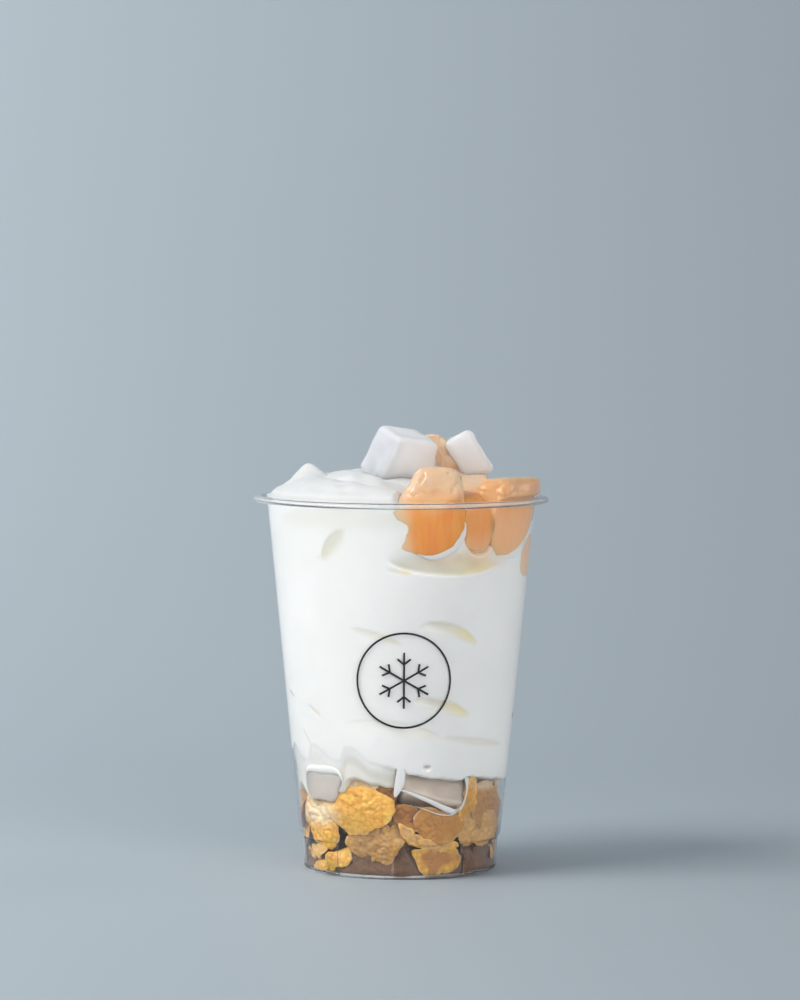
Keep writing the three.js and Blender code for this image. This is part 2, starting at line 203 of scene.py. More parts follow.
def setInputs(tree, node, inputs):  # each input gets a link from another node's output, or a fixed value
    for key, value in inputs.items():
        if isinstance(value, bpy.types.NodeSocket):
            tree.links.new(value, node.inputs[key])
        else:
            node.inputs[key].default_value = value


def addNode(tree, kind, inputs, **settings):
    made = tree.nodes.new(kind)
    for key, value in settings.items():
        setattr(made, key, value)
    setInputs(tree, made, inputs)
    return made


def newFinish(name, color, roughness, inputs):
    finish = bpy.data.materials.new(name)
    finish.use_nodes = True
    tree = finish.node_tree
    shader = tree.nodes["Principled BSDF"]
    setInputs(tree, shader, {"Base Color": (*color, 1), "Roughness": roughness, **inputs})
    return finish, tree, shader


def newGroup(name, inputs, outputs):  # inputs are named with their first values, outputs with their kinds
    group = bpy.data.node_groups.new(name, "ShaderNodeTree")
    for key, value in inputs.items():
        kind = "NodeSocketColor" if isinstance(value, tuple) else "NodeSocketFloat"
        group.interface.new_socket(key, in_out="INPUT", socket_type=kind).default_value = value
    for key, kind in outputs.items():
        group.interface.new_socket(key, in_out="OUTPUT", socket_type="NodeSocket" + kind)
    return group, group.nodes.new("NodeGroupInput").outputs, group.nodes.new("NodeGroupOutput")


def addMath(tree, operation, a, b):
    return addNode(tree, "ShaderNodeMath", {0: a, 1: b}, operation=operation).outputs[0]


def addMix(tree, share, a, b, **settings):
    inputs = {"Factor": share, "A": a, "B": b}
    return addNode(tree, "ShaderNodeMix", inputs, data_type="RGBA", **settings).outputs["Result"]


def ownPlace(tree):  # the piece's own coordinates
    return addNode(tree, "ShaderNodeTexCoord", {}).outputs["Object"]


def stretchedNoise(group, given, inputs):  # noise whose z is multiplied by the group's Stretch
    axes = addNode(group, "ShaderNodeCombineXYZ", {"X": 1, "Y": 1, "Z": given["Stretch"]})
    factors = {0: ownPlace(group), 1: axes.outputs[0]}
    grown = addNode(group, "ShaderNodeVectorMath", factors, operation="MULTIPLY")
    inputs = {"Vector": grown.outputs[0], "Scale": given["Scale"], **inputs}
    return addNode(group, "ShaderNodeTexNoise", inputs).outputs["Fac"]


def mottleGroup():
    # Two colours mixed by soft noise. Share: 3t^2 - 2t^3 as the noise goes from 0.5 - Spread to 0.5 + Spread
    group, given, result = newGroup(
        "mottle",
        {"Low": (0.5, 0.5, 0.5, 1), "High": (1, 1, 1, 1), "Scale": 100, "Stretch": 1, "Spread": 0.2},
        {"Color": "Color", "Share": "Float"},
    )
    noise = stretchedNoise(group, given, {"Detail": 3, "Roughness": 0.55})
    low = addMath(group, "SUBTRACT", 0.5, given["Spread"])
    high = addMath(group, "ADD", 0.5, given["Spread"])
    inputs = {"Value": noise, "From Min": low, "From Max": high}
    share = addNode(group, "ShaderNodeMapRange", inputs, interpolation_type="SMOOTHSTEP").outputs[0]
    setInputs(group, result, {"Color": addMix(group, share, given["Low"], given["High"]), "Share": share})
    return group


def tintGroup():
    # A colour mixed over another by a share, which is held between 0 and 1
    white = (1, 1, 1, 1)
    group, given, result = newGroup("tint", {"Color": white, "Tint": white, "Share": 0}, {"Color": "Color"})
    color = addMix(group, given["Share"], given["Color"], given["Tint"], clamp_factor=True)
    setInputs(group, result, {"Color": color})
    return group


def reliefGroup():
    # Fine height for a bump: one noise with four finer ones in it, each weaker than the last
    group, given, result = newGroup("relief", {"Scale": 400, "Stretch": 1}, {"Height": "Float"})
    setInputs(group, result, {"Height": stretchedNoise(group, given, {"Detail": 4, "Roughness": 0.6})})
    return group


def blisterGroup():
    # Height of small round blisters: fine noise times Grain, less the distance to the nearest of scattered
    # points, whose places are shifted by soft noise. PitShade: how low that height lies, up to 0.32, the share
    # of painted shade in the pits
    group, given, result = newGroup(
        "blister", {"Scale": 900, "Grain": 0.3}, {"Height": "Float", "PitShade": "Float"},
    )
    place = ownPlace(group)
    warp = addNode(group, "ShaderNodeTexNoise", {"Vector": place, "Scale": 300, "Detail": 1})
    inputs = {0: warp.outputs["Color"], 1: (0.0016, 0.0016, 0.0016), 2: place}
    shifted = addNode(group, "ShaderNodeVectorMath", inputs, operation="MULTIPLY_ADD")
    inputs = {"Vector": shifted.outputs[0], "Scale": given["Scale"], "Smoothness": 0.35}
    cells = addNode(group, "ShaderNodeTexVoronoi", inputs, feature="SMOOTH_F1")
    grain = addNode(group, "ShaderNodeTexNoise", {"Vector": place, "Scale": 2600, "Detail": 3})
    part = addMath(group, "MULTIPLY", grain.outputs["Fac"], given["Grain"])
    height = addMath(group, "SUBTRACT", part, cells.outputs["Distance"])
    inputs = {"Value": height, "From Min": -0.05, "From Max": -0.4, "To Max": 0.32}
    pitShade = addNode(group, "ShaderNodeMapRange", inputs)
    setInputs(group, result, {"Height": height, "PitShade": pitShade.outputs[0]})
    return group


mottle = mottleGroup()
blister = blisterGroup()
tint = tintGroup()
relief = reliefGroup()


def placeGroup(tree, group, inputs):
    return addNode(tree, "ShaderNodeGroup", inputs, node_tree=group).outputs


def addMottle(tree, low, high, scale, spread, stretch=1):
    return placeGroup(tree, mottle, {
        "Low": (*low, 1), "High": (*high, 1), "Scale": scale, "Stretch": stretch, "Spread": spread,
    })


def addTint(tree, color, share, over):  # a colour with another over it by share
    return placeGroup(tree, tint, {"Color": color, "Tint": (*over, 1), "Share": share})["Color"]


def valueOf(tree, name):  # a named value stored on the mesh's points
    return addNode(tree, "ShaderNodeAttribute", {}, attribute_name=name).outputs["Fac"]


def addTints(tree, color, tints):  # colours laid over one another by the surface's values of those names
    for name, over in tints.items():
        color = addTint(tree, color, valueOf(tree, name), over)
    return color


def addBump(tree, shader, height, distance, strength):
    bump = addNode(tree, "ShaderNodeBump", {"Height": height, "Distance": distance, "Strength": strength})
    setInputs(tree, shader, {"Normal": bump.outputs["Normal"]})


def addRelief(tree, shader, scale, stretch, distance, strength):
    fine = placeGroup(tree, relief, {"Scale": scale, "Stretch": stretch})
    addBump(tree, shader, fine["Height"], distance, strength)


def clearWhere(tree, shader, share, color):  # the shader gives way to plain transparency by share
    passing = addNode(tree, "ShaderNodeBsdfTransparent", {"Color": (*color, 1)})
    blend = addNode(tree, "ShaderNodeMixShader", {"Fac": share, 1: shader.outputs[0], 2: passing.outputs[0]})
    setInputs(tree, tree.nodes["Material Output"], {"Surface": blend.outputs[0]})


def clearInShadow(tree, shader, color):
    clearWhere(tree, shader, addNode(tree, "ShaderNodeLightPath", {}).outputs["Is Shadow Ray"], color)


# A look is a plain colour and roughness, the shader's own inputs, a mottle (two colours, how often it varies
# in a metre, its spread and its stretch along z), the tints in the order in which they lie, and a relief
# (how often it varies in a metre, its stretch, its height in metres and its strength)
plasticLook = {"roughness": (0.03, 0.06), "shadow": (0.97, 0.98, 0.98)}  # bare and frosted
paintedRimLooks = {  # colour and alpha of the painted reflections in the rolled rim: a pale glare band and a thin dark line
    "paintedGlare": ((0.95, 0.96, 0.97), 0.15),
    "line": ((0.06, 0.055, 0.055), 0.88),
}
creamLook = {
    "color": (0.9, 0.9, 0.88), "roughness": 0.42,
    "inputs": {"Subsurface Weight": 0.5, "Subsurface Radius": (1, 0.95, 0.85), "Subsurface Scale": 0.0012,
               "Specular IOR Level": 0.4},
    "mottle": ((0.86, 0.865, 0.85), (0.93, 0.93, 0.92), 45, 0.35),
    # recessShade is painted shade where the ice cream lies back from the wall; yellow and rosy are tints in the
    # pockets and under the peach
    "tints": {"recessShade": (0.67, 0.63, 0.53), "yellow": (0.82, 0.72, 0.42), "rosy": (0.84, 0.60, 0.42)},
    "relief": (900, 1, 0.0001, 0.25),
}
pannaLook = {
    "color": (0.8, 0.78, 0.78), "roughness": 0.22,
    "inputs": {"Subsurface Weight": 1.0, "Subsurface Radius": (1, 0.92, 0.9), "Subsurface Scale": 0.011,
               "IOR": 1.38, "Coat Weight": 0.2, "Coat Roughness": 0.12},
    "mottle": ((0.90, 0.89, 0.90), (0.95, 0.945, 0.955), 60, 0.3),
    # paintedLeftShade is painted shade, a cool grey laid over the left faces
    "tints": {"whey": (0.58, 0.44, 0.34), "paintedLeftShade": (0.60, 0.62, 0.66)},
    "relief": (500, 1, 0.00015, 0.25),
}
peachLook = {
    "color": (0.8, 0.4, 0.14), "roughness": 0.28,
    "inputs": {"Subsurface Weight": 0.8, "Subsurface Radius": (1, 0.5, 0.22), "Subsurface Scale": 0.0025,
               "IOR": 1.4, "Coat Weight": 0.5, "Coat Roughness": 0.06},
    "mottle": ((0.97, 0.30, 0.018), (1.0, 0.47, 0.07), 300, 0.36, 0.22),
    # paleAndPaintedLight is partly the flesh's paler tone and partly painted light on pieces that lie in shade
    "tints": {"blush": (0.86, 0.42, 0.22), "paleAndPaintedLight": (0.94, 0.69, 0.49)},
    "fleck": ((0, 0, 0), (1, 1, 1), 900, 0.3, 0.12), "fleckShare": 0.09, "fleckColor": (1.0, 0.80, 0.60),
    "relief": (600, 0.3, 0.0004, 0.55),
}
flakeLook = {
    "color": (0.7, 0.4, 0.12), "roughness": 0.6,
    "inputs": {"Subsurface Weight": 0.25, "Subsurface Radius": (1, 0.6, 0.3), "Subsurface Scale": 0.001,
               "Specular IOR Level": 0.45},
    "golden": ((0.85, 0.39, 0.035), (0.97, 0.60, 0.10), 420, 0.22),
    "tan": ((0.52, 0.28, 0.11), (0.78, 0.49, 0.23), 520, 0.22),
    # pitShade and creaseShade are painted shade in the low parts between blisters; milkAndRimHighlight is melted
    # ice cream and a painted highlight along the rims; shade is painted shade
    "brown": {"brown": (0.43, 0.175, 0.045)}, "pitShade": (0.50, 0.20, 0.03),
    "tints": {"creaseShade": (0.26, 0.11, 0.035), "milkAndRimHighlight": (0.95, 0.82, 0.62), "shade": (0.125, 0.064, 0.036)},
    "blister": {"Scale": 640, "Grain": 0.5}, "bump": (0.0004, 0.6),
}
inkLook = {"color": (0.012, 0.012, 0.013), "roughness": 0.35, "inputs": {}, "relief": (3000, 1, 0.00002, 0.2)}


def startFinish(name, look):
    return newFinish(name, look["color"], look["roughness"], look["inputs"])


def clearPlastic():
    bare, frosted = plasticLook["roughness"]
    glassy = {"IOR": 1.4, "Transmission Weight": 1.0}
    finish, tree, shader = newFinish("clearPlastic", (1, 1, 1), bare, glassy)
    inputs = {"Value": valueOf(tree, "frost"), "To Min": bare, "To Max": frosted}
    setInputs(tree, shader, {"Roughness": addNode(tree, "ShaderNodeMapRange", inputs).outputs[0]})
    clearInShadow(tree, shader, plasticLook["shadow"])
    return finish


# A painted reflection in the rim, in its look's colour, which casts no shadow
def paintedRimFinish(name):
    color, alpha = paintedRimLooks[name]
    finish, tree, shader = newFinish(name + "Finish", color, 0.35, {"Alpha": alpha})
    clearInShadow(tree, shader, (1, 1, 1))
    return finish


def softFinish(name, look):  # the ice cream and the panna cotta
    finish, tree, shader = startFinish(name, look)
    base = addMottle(tree, *look["mottle"])["Color"]
    setInputs(tree, shader, {"Base Color": addTints(tree, base, look["tints"])})
    addRelief(tree, shader, *look["relief"])
    return finish


def peachFinish():
    finish, tree, shader = startFinish("peachFinish", peachLook)
    color = addTints(tree, addMottle(tree, *peachLook["mottle"])["Color"], peachLook["tints"])
    share = addMath(tree, "MULTIPLY", addMottle(tree, *peachLook["fleck"])["Share"], peachLook["fleckShare"])
    setInputs(tree, shader, {"Base Color": addTint(tree, color, share, peachLook["fleckColor"])})
    addRelief(tree, shader, *peachLook["relief"])
    return finish


def flakeFinish():
    finish, tree, shader = startFinish("flakeFinish", flakeLook)
    golden = addMottle(tree, *flakeLook["golden"])["Color"]
    tan = addMottle(tree, *flakeLook["tan"])["Color"]
    color = addMix(tree, valueOf(tree, "toast"), golden, tan, clamp_factor=True)
    made = placeGroup(tree, blister, flakeLook["blister"])
    color = addTints(tree, color, flakeLook["brown"])
    color = addTint(tree, color, made["PitShade"], flakeLook["pitShade"])
    setInputs(tree, shader, {"Base Color": addTints(tree, color, flakeLook["tints"])})
    addBump(tree, shader, made["Height"], *flakeLook["bump"])
    return finish


def inkFinish():
    finish, tree, shader = startFinish("inkFinish", inkLook)
    addRelief(tree, shader, *inkLook["relief"])
    return finish


print("materials")
finishes = {
    "clear": clearPlastic(), "paintedGlare": paintedRimFinish("paintedGlare"), "line": paintedRimFinish("line"),
    "cream": softFinish("creamFinish", creamLook), "panna": softFinish("pannaFinish", pannaLook),
    "peach": peachFinish(), "flake": flakeFinish(), "ink": inkFinish(),
}


def roundedOutline(points, most, steps):
    # Each corner becomes a curve t -> (1-t)^2 a + 2t(1-t) corner + t^2 b, with a and b on its two lines
    p = np.array(points, float)
    before = np.roll(p, 1, 0) - p
    after = np.roll(p, -1, 0) - p
    before[0] = p[0] * 0
    after[-1] = p[-1] * 0

    def cut(line):
        length = np.maximum(np.linalg.norm(line, axis=1), 1e-9)
        return p + line * (np.minimum(most, 0.4 * length) / length)[:, None]

    t = np.linspace(0, 1, steps)[None, :, None]
    a, b = cut(before)[:, None], cut(after)[:, None]
    return ((1 - t) ** 2 * a + 2 * t * (1 - t) * p[:, None] + t**2 * b).reshape(-1, 2)


def cupBody():
    # The outline turned round the axis, pushed in by a flat dent with steep sides at each lug of the foot
    outline = roundedOutline(cup["outline"], cup["rounding"], cup["roundSteps"])[1:-1]
    r, z = outline[:, :1], outline[:, 1:]
    turn = np.linspace(0, 360, cup["columns"], endpoint=False)[None]
    step = 360 / cup["lugs"]
    off = turnBetween(turn, np.round(turn / step) * step)
    dent = cup["lugDepth"] * smooth(cup["lugWide"], cup["lugWide"] - cup["lugSide"], np.abs(off))
    dent = dent * smooth(*cup["lugFoot"], z) * smooth(*cup["lugTop"], z)
    body = closedBody((0, 0, cup["undersideZ"]), around(turn, r - dent, z), (0, 0, cup["floorZ"]))
    return body, smooth(*cup["frost"], body[0][:, 2])


paintedRimBands = {  # radius and height of the painted reflections inside the clear rim: a pale glare band and a thin dark line
    "paintedGlare": [(43.6, 115.95), (44.1, 115.95), (44.9, 115.05), (45.5, 114.95), (45.7, 115.4), (45.1, 115.85),
             (44, 116.1), (43.6, 116.1)],
    "line": [(44.7, 115.86), (44.95, 115.86), (44.95, 116.16), (44.7, 116.16)],
}


def ringBody(outline, sideways):
    # An outline turned round the axis, closed on itself. Its height shrinks to the share sideways at the two
    # sides of the cup, as the square of the turn's cosine
    outline = np.array(outline)
    turn = np.linspace(0, 360, cup["columns"], endpoint=False)[None]
    foot = outline[:, 1].min()
    share = mix(sideways, 1, np.cos(np.radians(turn)) ** 2)
    rings = around(turn, outline[:, :1], foot + (outline[:, 1:] - foot) * share)
    rows, columns = rings.shape[:2]
    low = np.arange(rows) * columns
    return rings.reshape(-1, 3), bandQuads(low, np.roll(low, -1), columns), noTriangles


print("cup")
cupShape, frost = cupBody()
makePiece("clear_cup", cupShape, finishes["clear"], {"frost": frost}, ["cup"])
# The rim's painted reflections: the pale glare band, and the dark line, which thins at the sides of the cup
for name, sideways in (("paintedGlare", 1), ("line", 0.1)):
    makePiece("rim_" + name, ringBody(paintedRimBands[name], sideways), finishes[name], {})


cream = {
    "reach": 0.08,  # how far it goes into the wall that it touches
    "footR": 23.4,
    "footZ": 25,
    "frontColumns": 300,
    "backColumns": 180,
    "sideRows": 150,
    "topRows": 42,
    "edge": [  # turn and height where it leaves the wall, with hanging fingers between notches
        (-176, 38), (-163, 34.6), (-160, 35), (-153, 39.4), (-132, 34.8), (-128, 35.4), (-122, 39.6),
        (-100, 35), (-95, 36), (-88, 38.6), (-81, 38), (-75, 40.4), (-59.5, 35.7), (-57.5, 36.2),
        (-54.2, 40.6), (-52, 41), (-36, 36.7), (-34, 36.9), (-30, 41), (-27.5, 41.2), (-14, 36.6),
        (-6.4, 35.3), (1.6, 34.2), (4, 33), (20, 31.6), (34, 30.6), (40, 31.6), (46, 31.2), (60, 30),
        (80, 28.6), (95, 30.4), (104, 34.4), (112, 36.8), (126, 32.5), (134, 31.6), (141, 36.4),
        (152, 37), (166, 33.4), (170, 34),
    ],
    "recessDeep": [  # turn and depth behind the wall just under that edge
        (-176, 0.4), (-100, 0.4), (-60, 0.28), (-12, 0.28), (-4, 0.8), (3, 6), (60, 6), (90, 3), (120, 0.4),
    ],
    "recessMore": [(-100, 0.4), (-60, 0.4), (-30, 0.8), (0, 1), (90, 1), (120, 0.4)],  # added further down
    "recessLong": [  # turn and how far below the edge it then draws in to the foot
        (-176, 9), (-100, 9), (-88, 13), (-62, 12), (-48, 10), (-30, 10), (-12, 6.5), (0, 6), (90, 6.5),
        (120, 9),
    ],
    "dome": {"edge": 115.8, "rise": 9.2, "groove": 1.9},
    "coil": {"pitch": 14, "start": -72, "phase": 0.25, "round": 0.96, "inner": (2, 9), "outer": 35},
    "tip": {"x": -29.5, "y": 5.2, "wide": 4.4, "high": 3.6},
    "dips": [(26, -6, 24, 6.5), (3, -23, 10, 4.2)],  # x, y, width and depth
    "dipsFrom": 36,
    "fruit": {"from": (-5, 4), "to": (92, 82), "deep": 7.5, "inner": (24, 33)},  # low under it at the wall
}
# Pockets where the coils don't reach the wall: turn and height of the middle, half length along the coil,
# half width across it, rise of the coil in degrees, sag of its ends, depth, crisp side (1 up, -1 down),
# share of the painted shade colour, share of yellow at its right end
pockets = [
    (-31, 103, 6.8, 3.2, 48, 0.6, 0.1, 1, 0.75, 0.0),
    (-37, 99.6, 3.4, 1.3, 30, 0.3, 0.1, -1, 0.3, 0.3),
    (-28, 109.5, 27, 5, 0, 0, 0, 1, 0.26, 0.0),
    (21, 98.6, 19, 4.8, -2, 0, 0.8, -1, 0.95, 0.9),
    (37, 111, 7, 11.5, 0, 0, 2.6, -1, 0.5, 0.0),
    (-1, 95.6, 4.4, 1.3, -8, 0, 0.2, -1, 0.5, 1.0),
    (-12, 75.4, 9, 1.6, -17, 0, 0.12, 1, 0.5, 0.3),
    (24, 77, 10.5, 2.4, -17, 1.6, 0.22, 1, 0.8, 1.0),
    (21.5, 53.6, 10, 2.4, -16, 0.6, 0.22, 1, 0.85, 1.0),
    (-4, 46.4, 16, 3.2, -8, 1, 0.12, 1, 0.15, 0.2),
    (44, 42, 15, 1.6, -8, 0, 0.1, 1, 0.5, 0.0),
    (-49.5, 51.3, 3.6, 1.1, -32, 0, 0.2, 1, 0.6, 0.2),
    (-71, 55.7, 3, 0.9, -25, 0, 0.15, 1, 0.6, 0.0),
    (-57, 42.6, 4, 0.8, -50, 0, 0.2, 1, 0.6, 0.0),
    (13.8, 34.9, 1.3, 0.75, 0, 0, 3.4, 1, 1.0, 0.0),
]
pockets += [  # round the back they follow the same falling coils
    (96 + (k * 67) % 178, 46 + (k * 23) % 58, 10 + 4 * math.sin(1.7 * k), 2.3 + 0.5 * math.cos(k),
     -16 + 6 * math.sin(2.3 * k), 0.8, 0.12 + 0.05 * math.cos(1.3 * k), 1, 0.6, 0.4 + 0.4 * math.sin(2.9 * k))
    for k in range(13)
]
rosySpots = [  # rosy tint under the peach: turn, height, half length, half height, strength
    (20, 99.4, 8, 2.6, 0.4), (37, 100.6, 6.5, 4.4, 0.6), (47, 98.6, 5, 2.6, 0.3),
]


def pocketFields(turn, z):
    # Depth: from a crisp edge on one side to a soft one on the other, across a leaf whose half width is
    # wide * sqrt(1 - along^2). Tint, the share of painted shade: the same leaf. Yellow: the same again, at its
    # right end
    depth = np.zeros(np.broadcast(turn, z).shape)
    yellow = depth.copy()
    tint = depth.copy()
    for midTurn, midZ, long, wide, rise, sag, deep, crisp, dusk, yellowing in pockets:
        x = np.radians(turnBetween(turn, midTurn)) * wallInside(z)
        y = z - midZ
        c, s = math.cos(math.radians(rise)), math.sin(math.radians(rise))
        along = (x * c + y * s) / long
        across = (y * c - x * s + sag * along**2) * crisp
        half = wide * np.sqrt(np.clip(1 - along**2, 0, 1))
        shape = smooth(0, 0.7, half - across) * smooth(0, 1.3 * wide, half + across)
        depth = np.maximum(depth, deep * shape)
        tint = np.maximum(tint, dusk * shape)
        yellow = np.maximum(yellow, yellowing * shape * smooth(-0.3, 0.8, along))
    return depth, tint, yellow


def roundTable(key, turn):  # round the cup, each table value eased into the next by 3t^2 - 2t^3
    turns, values = np.array(cream[key], float).T
    turns = np.append(turns, turns[0] + 360)
    values = np.append(values, values[0])
    place = (turn - turns[0]) % 360 + turns[0]
    low = np.clip(np.searchsorted(turns, place, side="right") - 1, 0, len(turns) - 2)
    share = (place - turns[low]) / (turns[low + 1] - turns[low])
    return mix(values[low], values[low + 1], smooth(0, 1, share))


def creamTop(turn, r):
    # A dome edge + rise * sqrt(1 - (r/R)^2), grooved along a spiral, with a pulled tip, dips where pieces
    # lie, and a low brim where the fruit meets the wall
    dome, coil, tip, fruit = cream["dome"], cream["coil"], cream["tip"], cream["fruit"]
    brim = wallInside(brimHeight)
    point = around(turn, r, 0 * r)

    def mound(x, y, wide):  # 1 at x, y, falling off round it
        return bell(np.hypot(point[..., 0] - x, point[..., 1] - y), wide)

    winding = r / coil["pitch"] - turnBetween(turn, coil["start"]) / 360 + coil["phase"]
    lane = 2 * (winding % 1) - 1
    ridge = np.sqrt(1 - coil["round"] * lane**2)
    fade = smooth(brim, coil["outer"], r) * smooth(*coil["inner"], r)
    height = dome["edge"] + dome["rise"] * np.sqrt(np.clip(1 - (r / brim) ** 2, 0, 1))
    pulled = tip["high"] * mound(tip["x"], tip["y"], tip["wide"])
    low = sum(deep * mound(x, y, wide) for x, y, wide, deep in cream["dips"])
    side = turnBetween(turn, 0)
    beside = smooth(*fruit["from"], side) * smooth(*fruit["to"], side) * smooth(*fruit["inner"], r)
    height = height - dome["groove"] * (1 - ridge) * fade + pulled
    return height - np.maximum(low * smooth(brim, cream["dipsFrom"], r), fruit["deep"] * beside)


def creamBody():
    # Side: the wall's inside less the pockets, drawn in below the edge. Top: the coiled dome
    front = np.linspace(-90, 90, cream["frontColumns"], endpoint=False)
    back = np.linspace(90, 270, cream["backColumns"], endpoint=False)
    turn = np.concatenate([front, back])[None]
    brimZ = creamTop(turn, np.full_like(turn, wallInside(brimHeight) - 0.1))
    share = np.linspace(0, 1, cream["sideRows"])[:, None]
    z = mix(cream["footZ"], brimZ, share)
    depth, tint, yellow = pocketFields(turn, z)
    under = roundTable("edge", turn) - z
    first = roundTable("recessDeep", turn)
    wall = wallInside(z)
    more = roundTable("recessMore", turn)
    lift = first * smooth(0, 0.9, under) + more * smooth(0.8, 6, under)
    drawIn = smooth(0, 3, under - roundTable("recessLong", turn))
    lift = lift + (wall - cream["footR"] - first - more) * drawIn
    grain = waves(around(turn, wall, z), 7, 11)
    r = wall + cream["reach"] - np.maximum(depth * (1 + 0.15 * grain), lift)
    side = around(turn, r, z)
    shrink = np.linspace(1, 0.03, cream["topRows"] + 1)[1:, None]
    topR = r[-1:] * shrink
    topZ = creamTop(turn + 0 * topR, topR)
    top = around(turn, topR, topZ)
    top[..., 2] += 0.12 * waves(top, 5, 12) * smooth(1, 0.9, shrink)
    footR = np.array([[0.5], [0.97]]) * cream["footR"]
    foot = around(turn, footR, cream["footZ"] - np.array([[0.1], [0.06]]))
    rings = np.concatenate([foot, side, top])
    body = closedBody((0, 0, cream["footZ"] - 0.1), rings, (0, 0, float(topZ[-1].mean())))
    # Painted shade where the ice cream lies back from the wall: the larger of the pockets' shade and half of how
    # far the side draws in
    drawn = np.maximum(tint, 0.5 * smooth(0, 1.2, lift))
    recessShade = np.concatenate([np.ones_like(foot[..., 0]), drawn, 0 * topZ])
    yellow = np.concatenate([0 * foot[..., 0], yellow, 0 * topZ])
    return body, {"recessShade": padded(recessShade), "yellow": padded(yellow), "rosy": spotted(body[0], rosySpots)}


def spotted(points, spots):
    # The strongest of several soft spots on the wall, each most * e^-((x/long)^2 + (z/high)^2)^2
    side = np.degrees(np.arctan2(points[:, 0], -points[:, 1]))
    result = 0 * side
    for midTurn, midZ, long, high, most in spots:
        x = np.radians(turnBetween(side, midTurn)) * wallInside(midZ) / long
        result = np.maximum(result, most * np.exp(-((x**2 + ((points[:, 2] - midZ) / high) ** 2) ** 2)))
    return result


def padded(rows):  # a value for each point of a closed body, poles included
    return np.concatenate([[rows[0, 0]], rows.ravel(), [rows[-1, 0]]])


print("ice cream")
creamShape, creamValues = creamBody()
makePiece("soft_ice_cream", creamShape, finishes["cream"], creamValues, ["ice_cream"])


cubes = {  # one corner, the three edges that leave it, and a nudge to one of its corners, as cut by hand
    "panna_cotta_top_left": {
        "corner": (-0.6, -15.4, 134.6), "edges": [(12.6, 6, -1.9), (-6.4, 4, -13.8), (-6.7, 9, 4.2)],
        "nudge": (6, (4.6, 1, 2.6)), "whey": 0, "paintedLeftShade": 0.7,
    },
    "panna_cotta_top_right": {
        "corner": (12.9, -5.4, 132.9), "edges": [(8.5, 1.2, 4.6), (7.2, 2.2, -12.2), (-0.4, 10.6, -0.6)],
        "nudge": (6, (1.0, 0, -1.4)), "whey": 0.0, "rounding": 2.2,
    },
    "panna_cotta_low_left": {
        "turn": -48, "corner": (-7.2, -33.2, 32.8),
        "edges": [(15.6, 0.4, -0.8), (0.2, 1, -9.6), (-3, 10.4, 1)], "nudge": (6, (-3.8, 0, 1)), "whey": 0.56,
    },
    "panna_cotta_low_right": {
        "turn": 18.5, "corner": (-9.5, -31.8, 27.6),
        "edges": [(19.8, 0.5, -5.2), (0.8, 4, 6.6), (0.8, 8.6, -5.2)], "nudge": (6, (0.8, 0, 1.6)), "whey": 0.85,
    },
    "panna_cotta_low_side": {
        "turn": 116, "corner": (-7, -33.2, 34.2), "edges": [(14, 1, -3.4), (2, 1, -11), (0.5, 10.5, 1)],
        "whey": 0.75,
    },
    "panna_cotta_low_back": {
        "turn": 176, "corner": (-8, -33, 31), "edges": [(15, 1, 3), (-1.6, 2, -10.4), (1, 11, 0)],
        "whey": 0.75,
    },
    "panna_cotta_low_far": {
        "turn": -126, "corner": (-7, -33, 34), "edges": [(13.5, 1, -4.6), (3, 2.6, -9.8), (-1, 10, 2)],
        "whey": 0.75,
    },
}
cubeCut = {"cells": 36, "crowd": 1.35, "rounding": 1.6, "dent": 0.14, "dentSize": 7, "reach": 0.14}


def boxLattice(cells):
    # The surface points of a lattice of cells^3 and its outward quads, found from a table of point numbers
    n = cells + 1
    i, j, k = np.meshgrid(np.arange(n), np.arange(n), np.arange(n), indexing="ij")
    onSurface = (i % cells == 0) | (j % cells == 0) | (k % cells == 0)
    number = np.full((n, n, n), -1)
    number[onSurface] = np.arange(onSurface.sum())
    places = np.stack([i[onSurface], j[onSurface], k[onSurface]], -1) / cells
    faces = []
    for axis in range(3):
        for end in (0, cells):
            sheet = np.take(number, end, axis)
            corners = [sheet[:-1, :-1], sheet[1:, :-1], sheet[1:, 1:], sheet[:-1, 1:]]
            quad = np.stack(corners, -1).reshape(-1, 4)
            outward = (axis != 1) == (end == cells)
            faces.append(quad if outward else quad[:, ::-1])
    return places, np.concatenate(faces)


latticePlaces, latticeQuads = boxLattice(cubeCut["cells"])


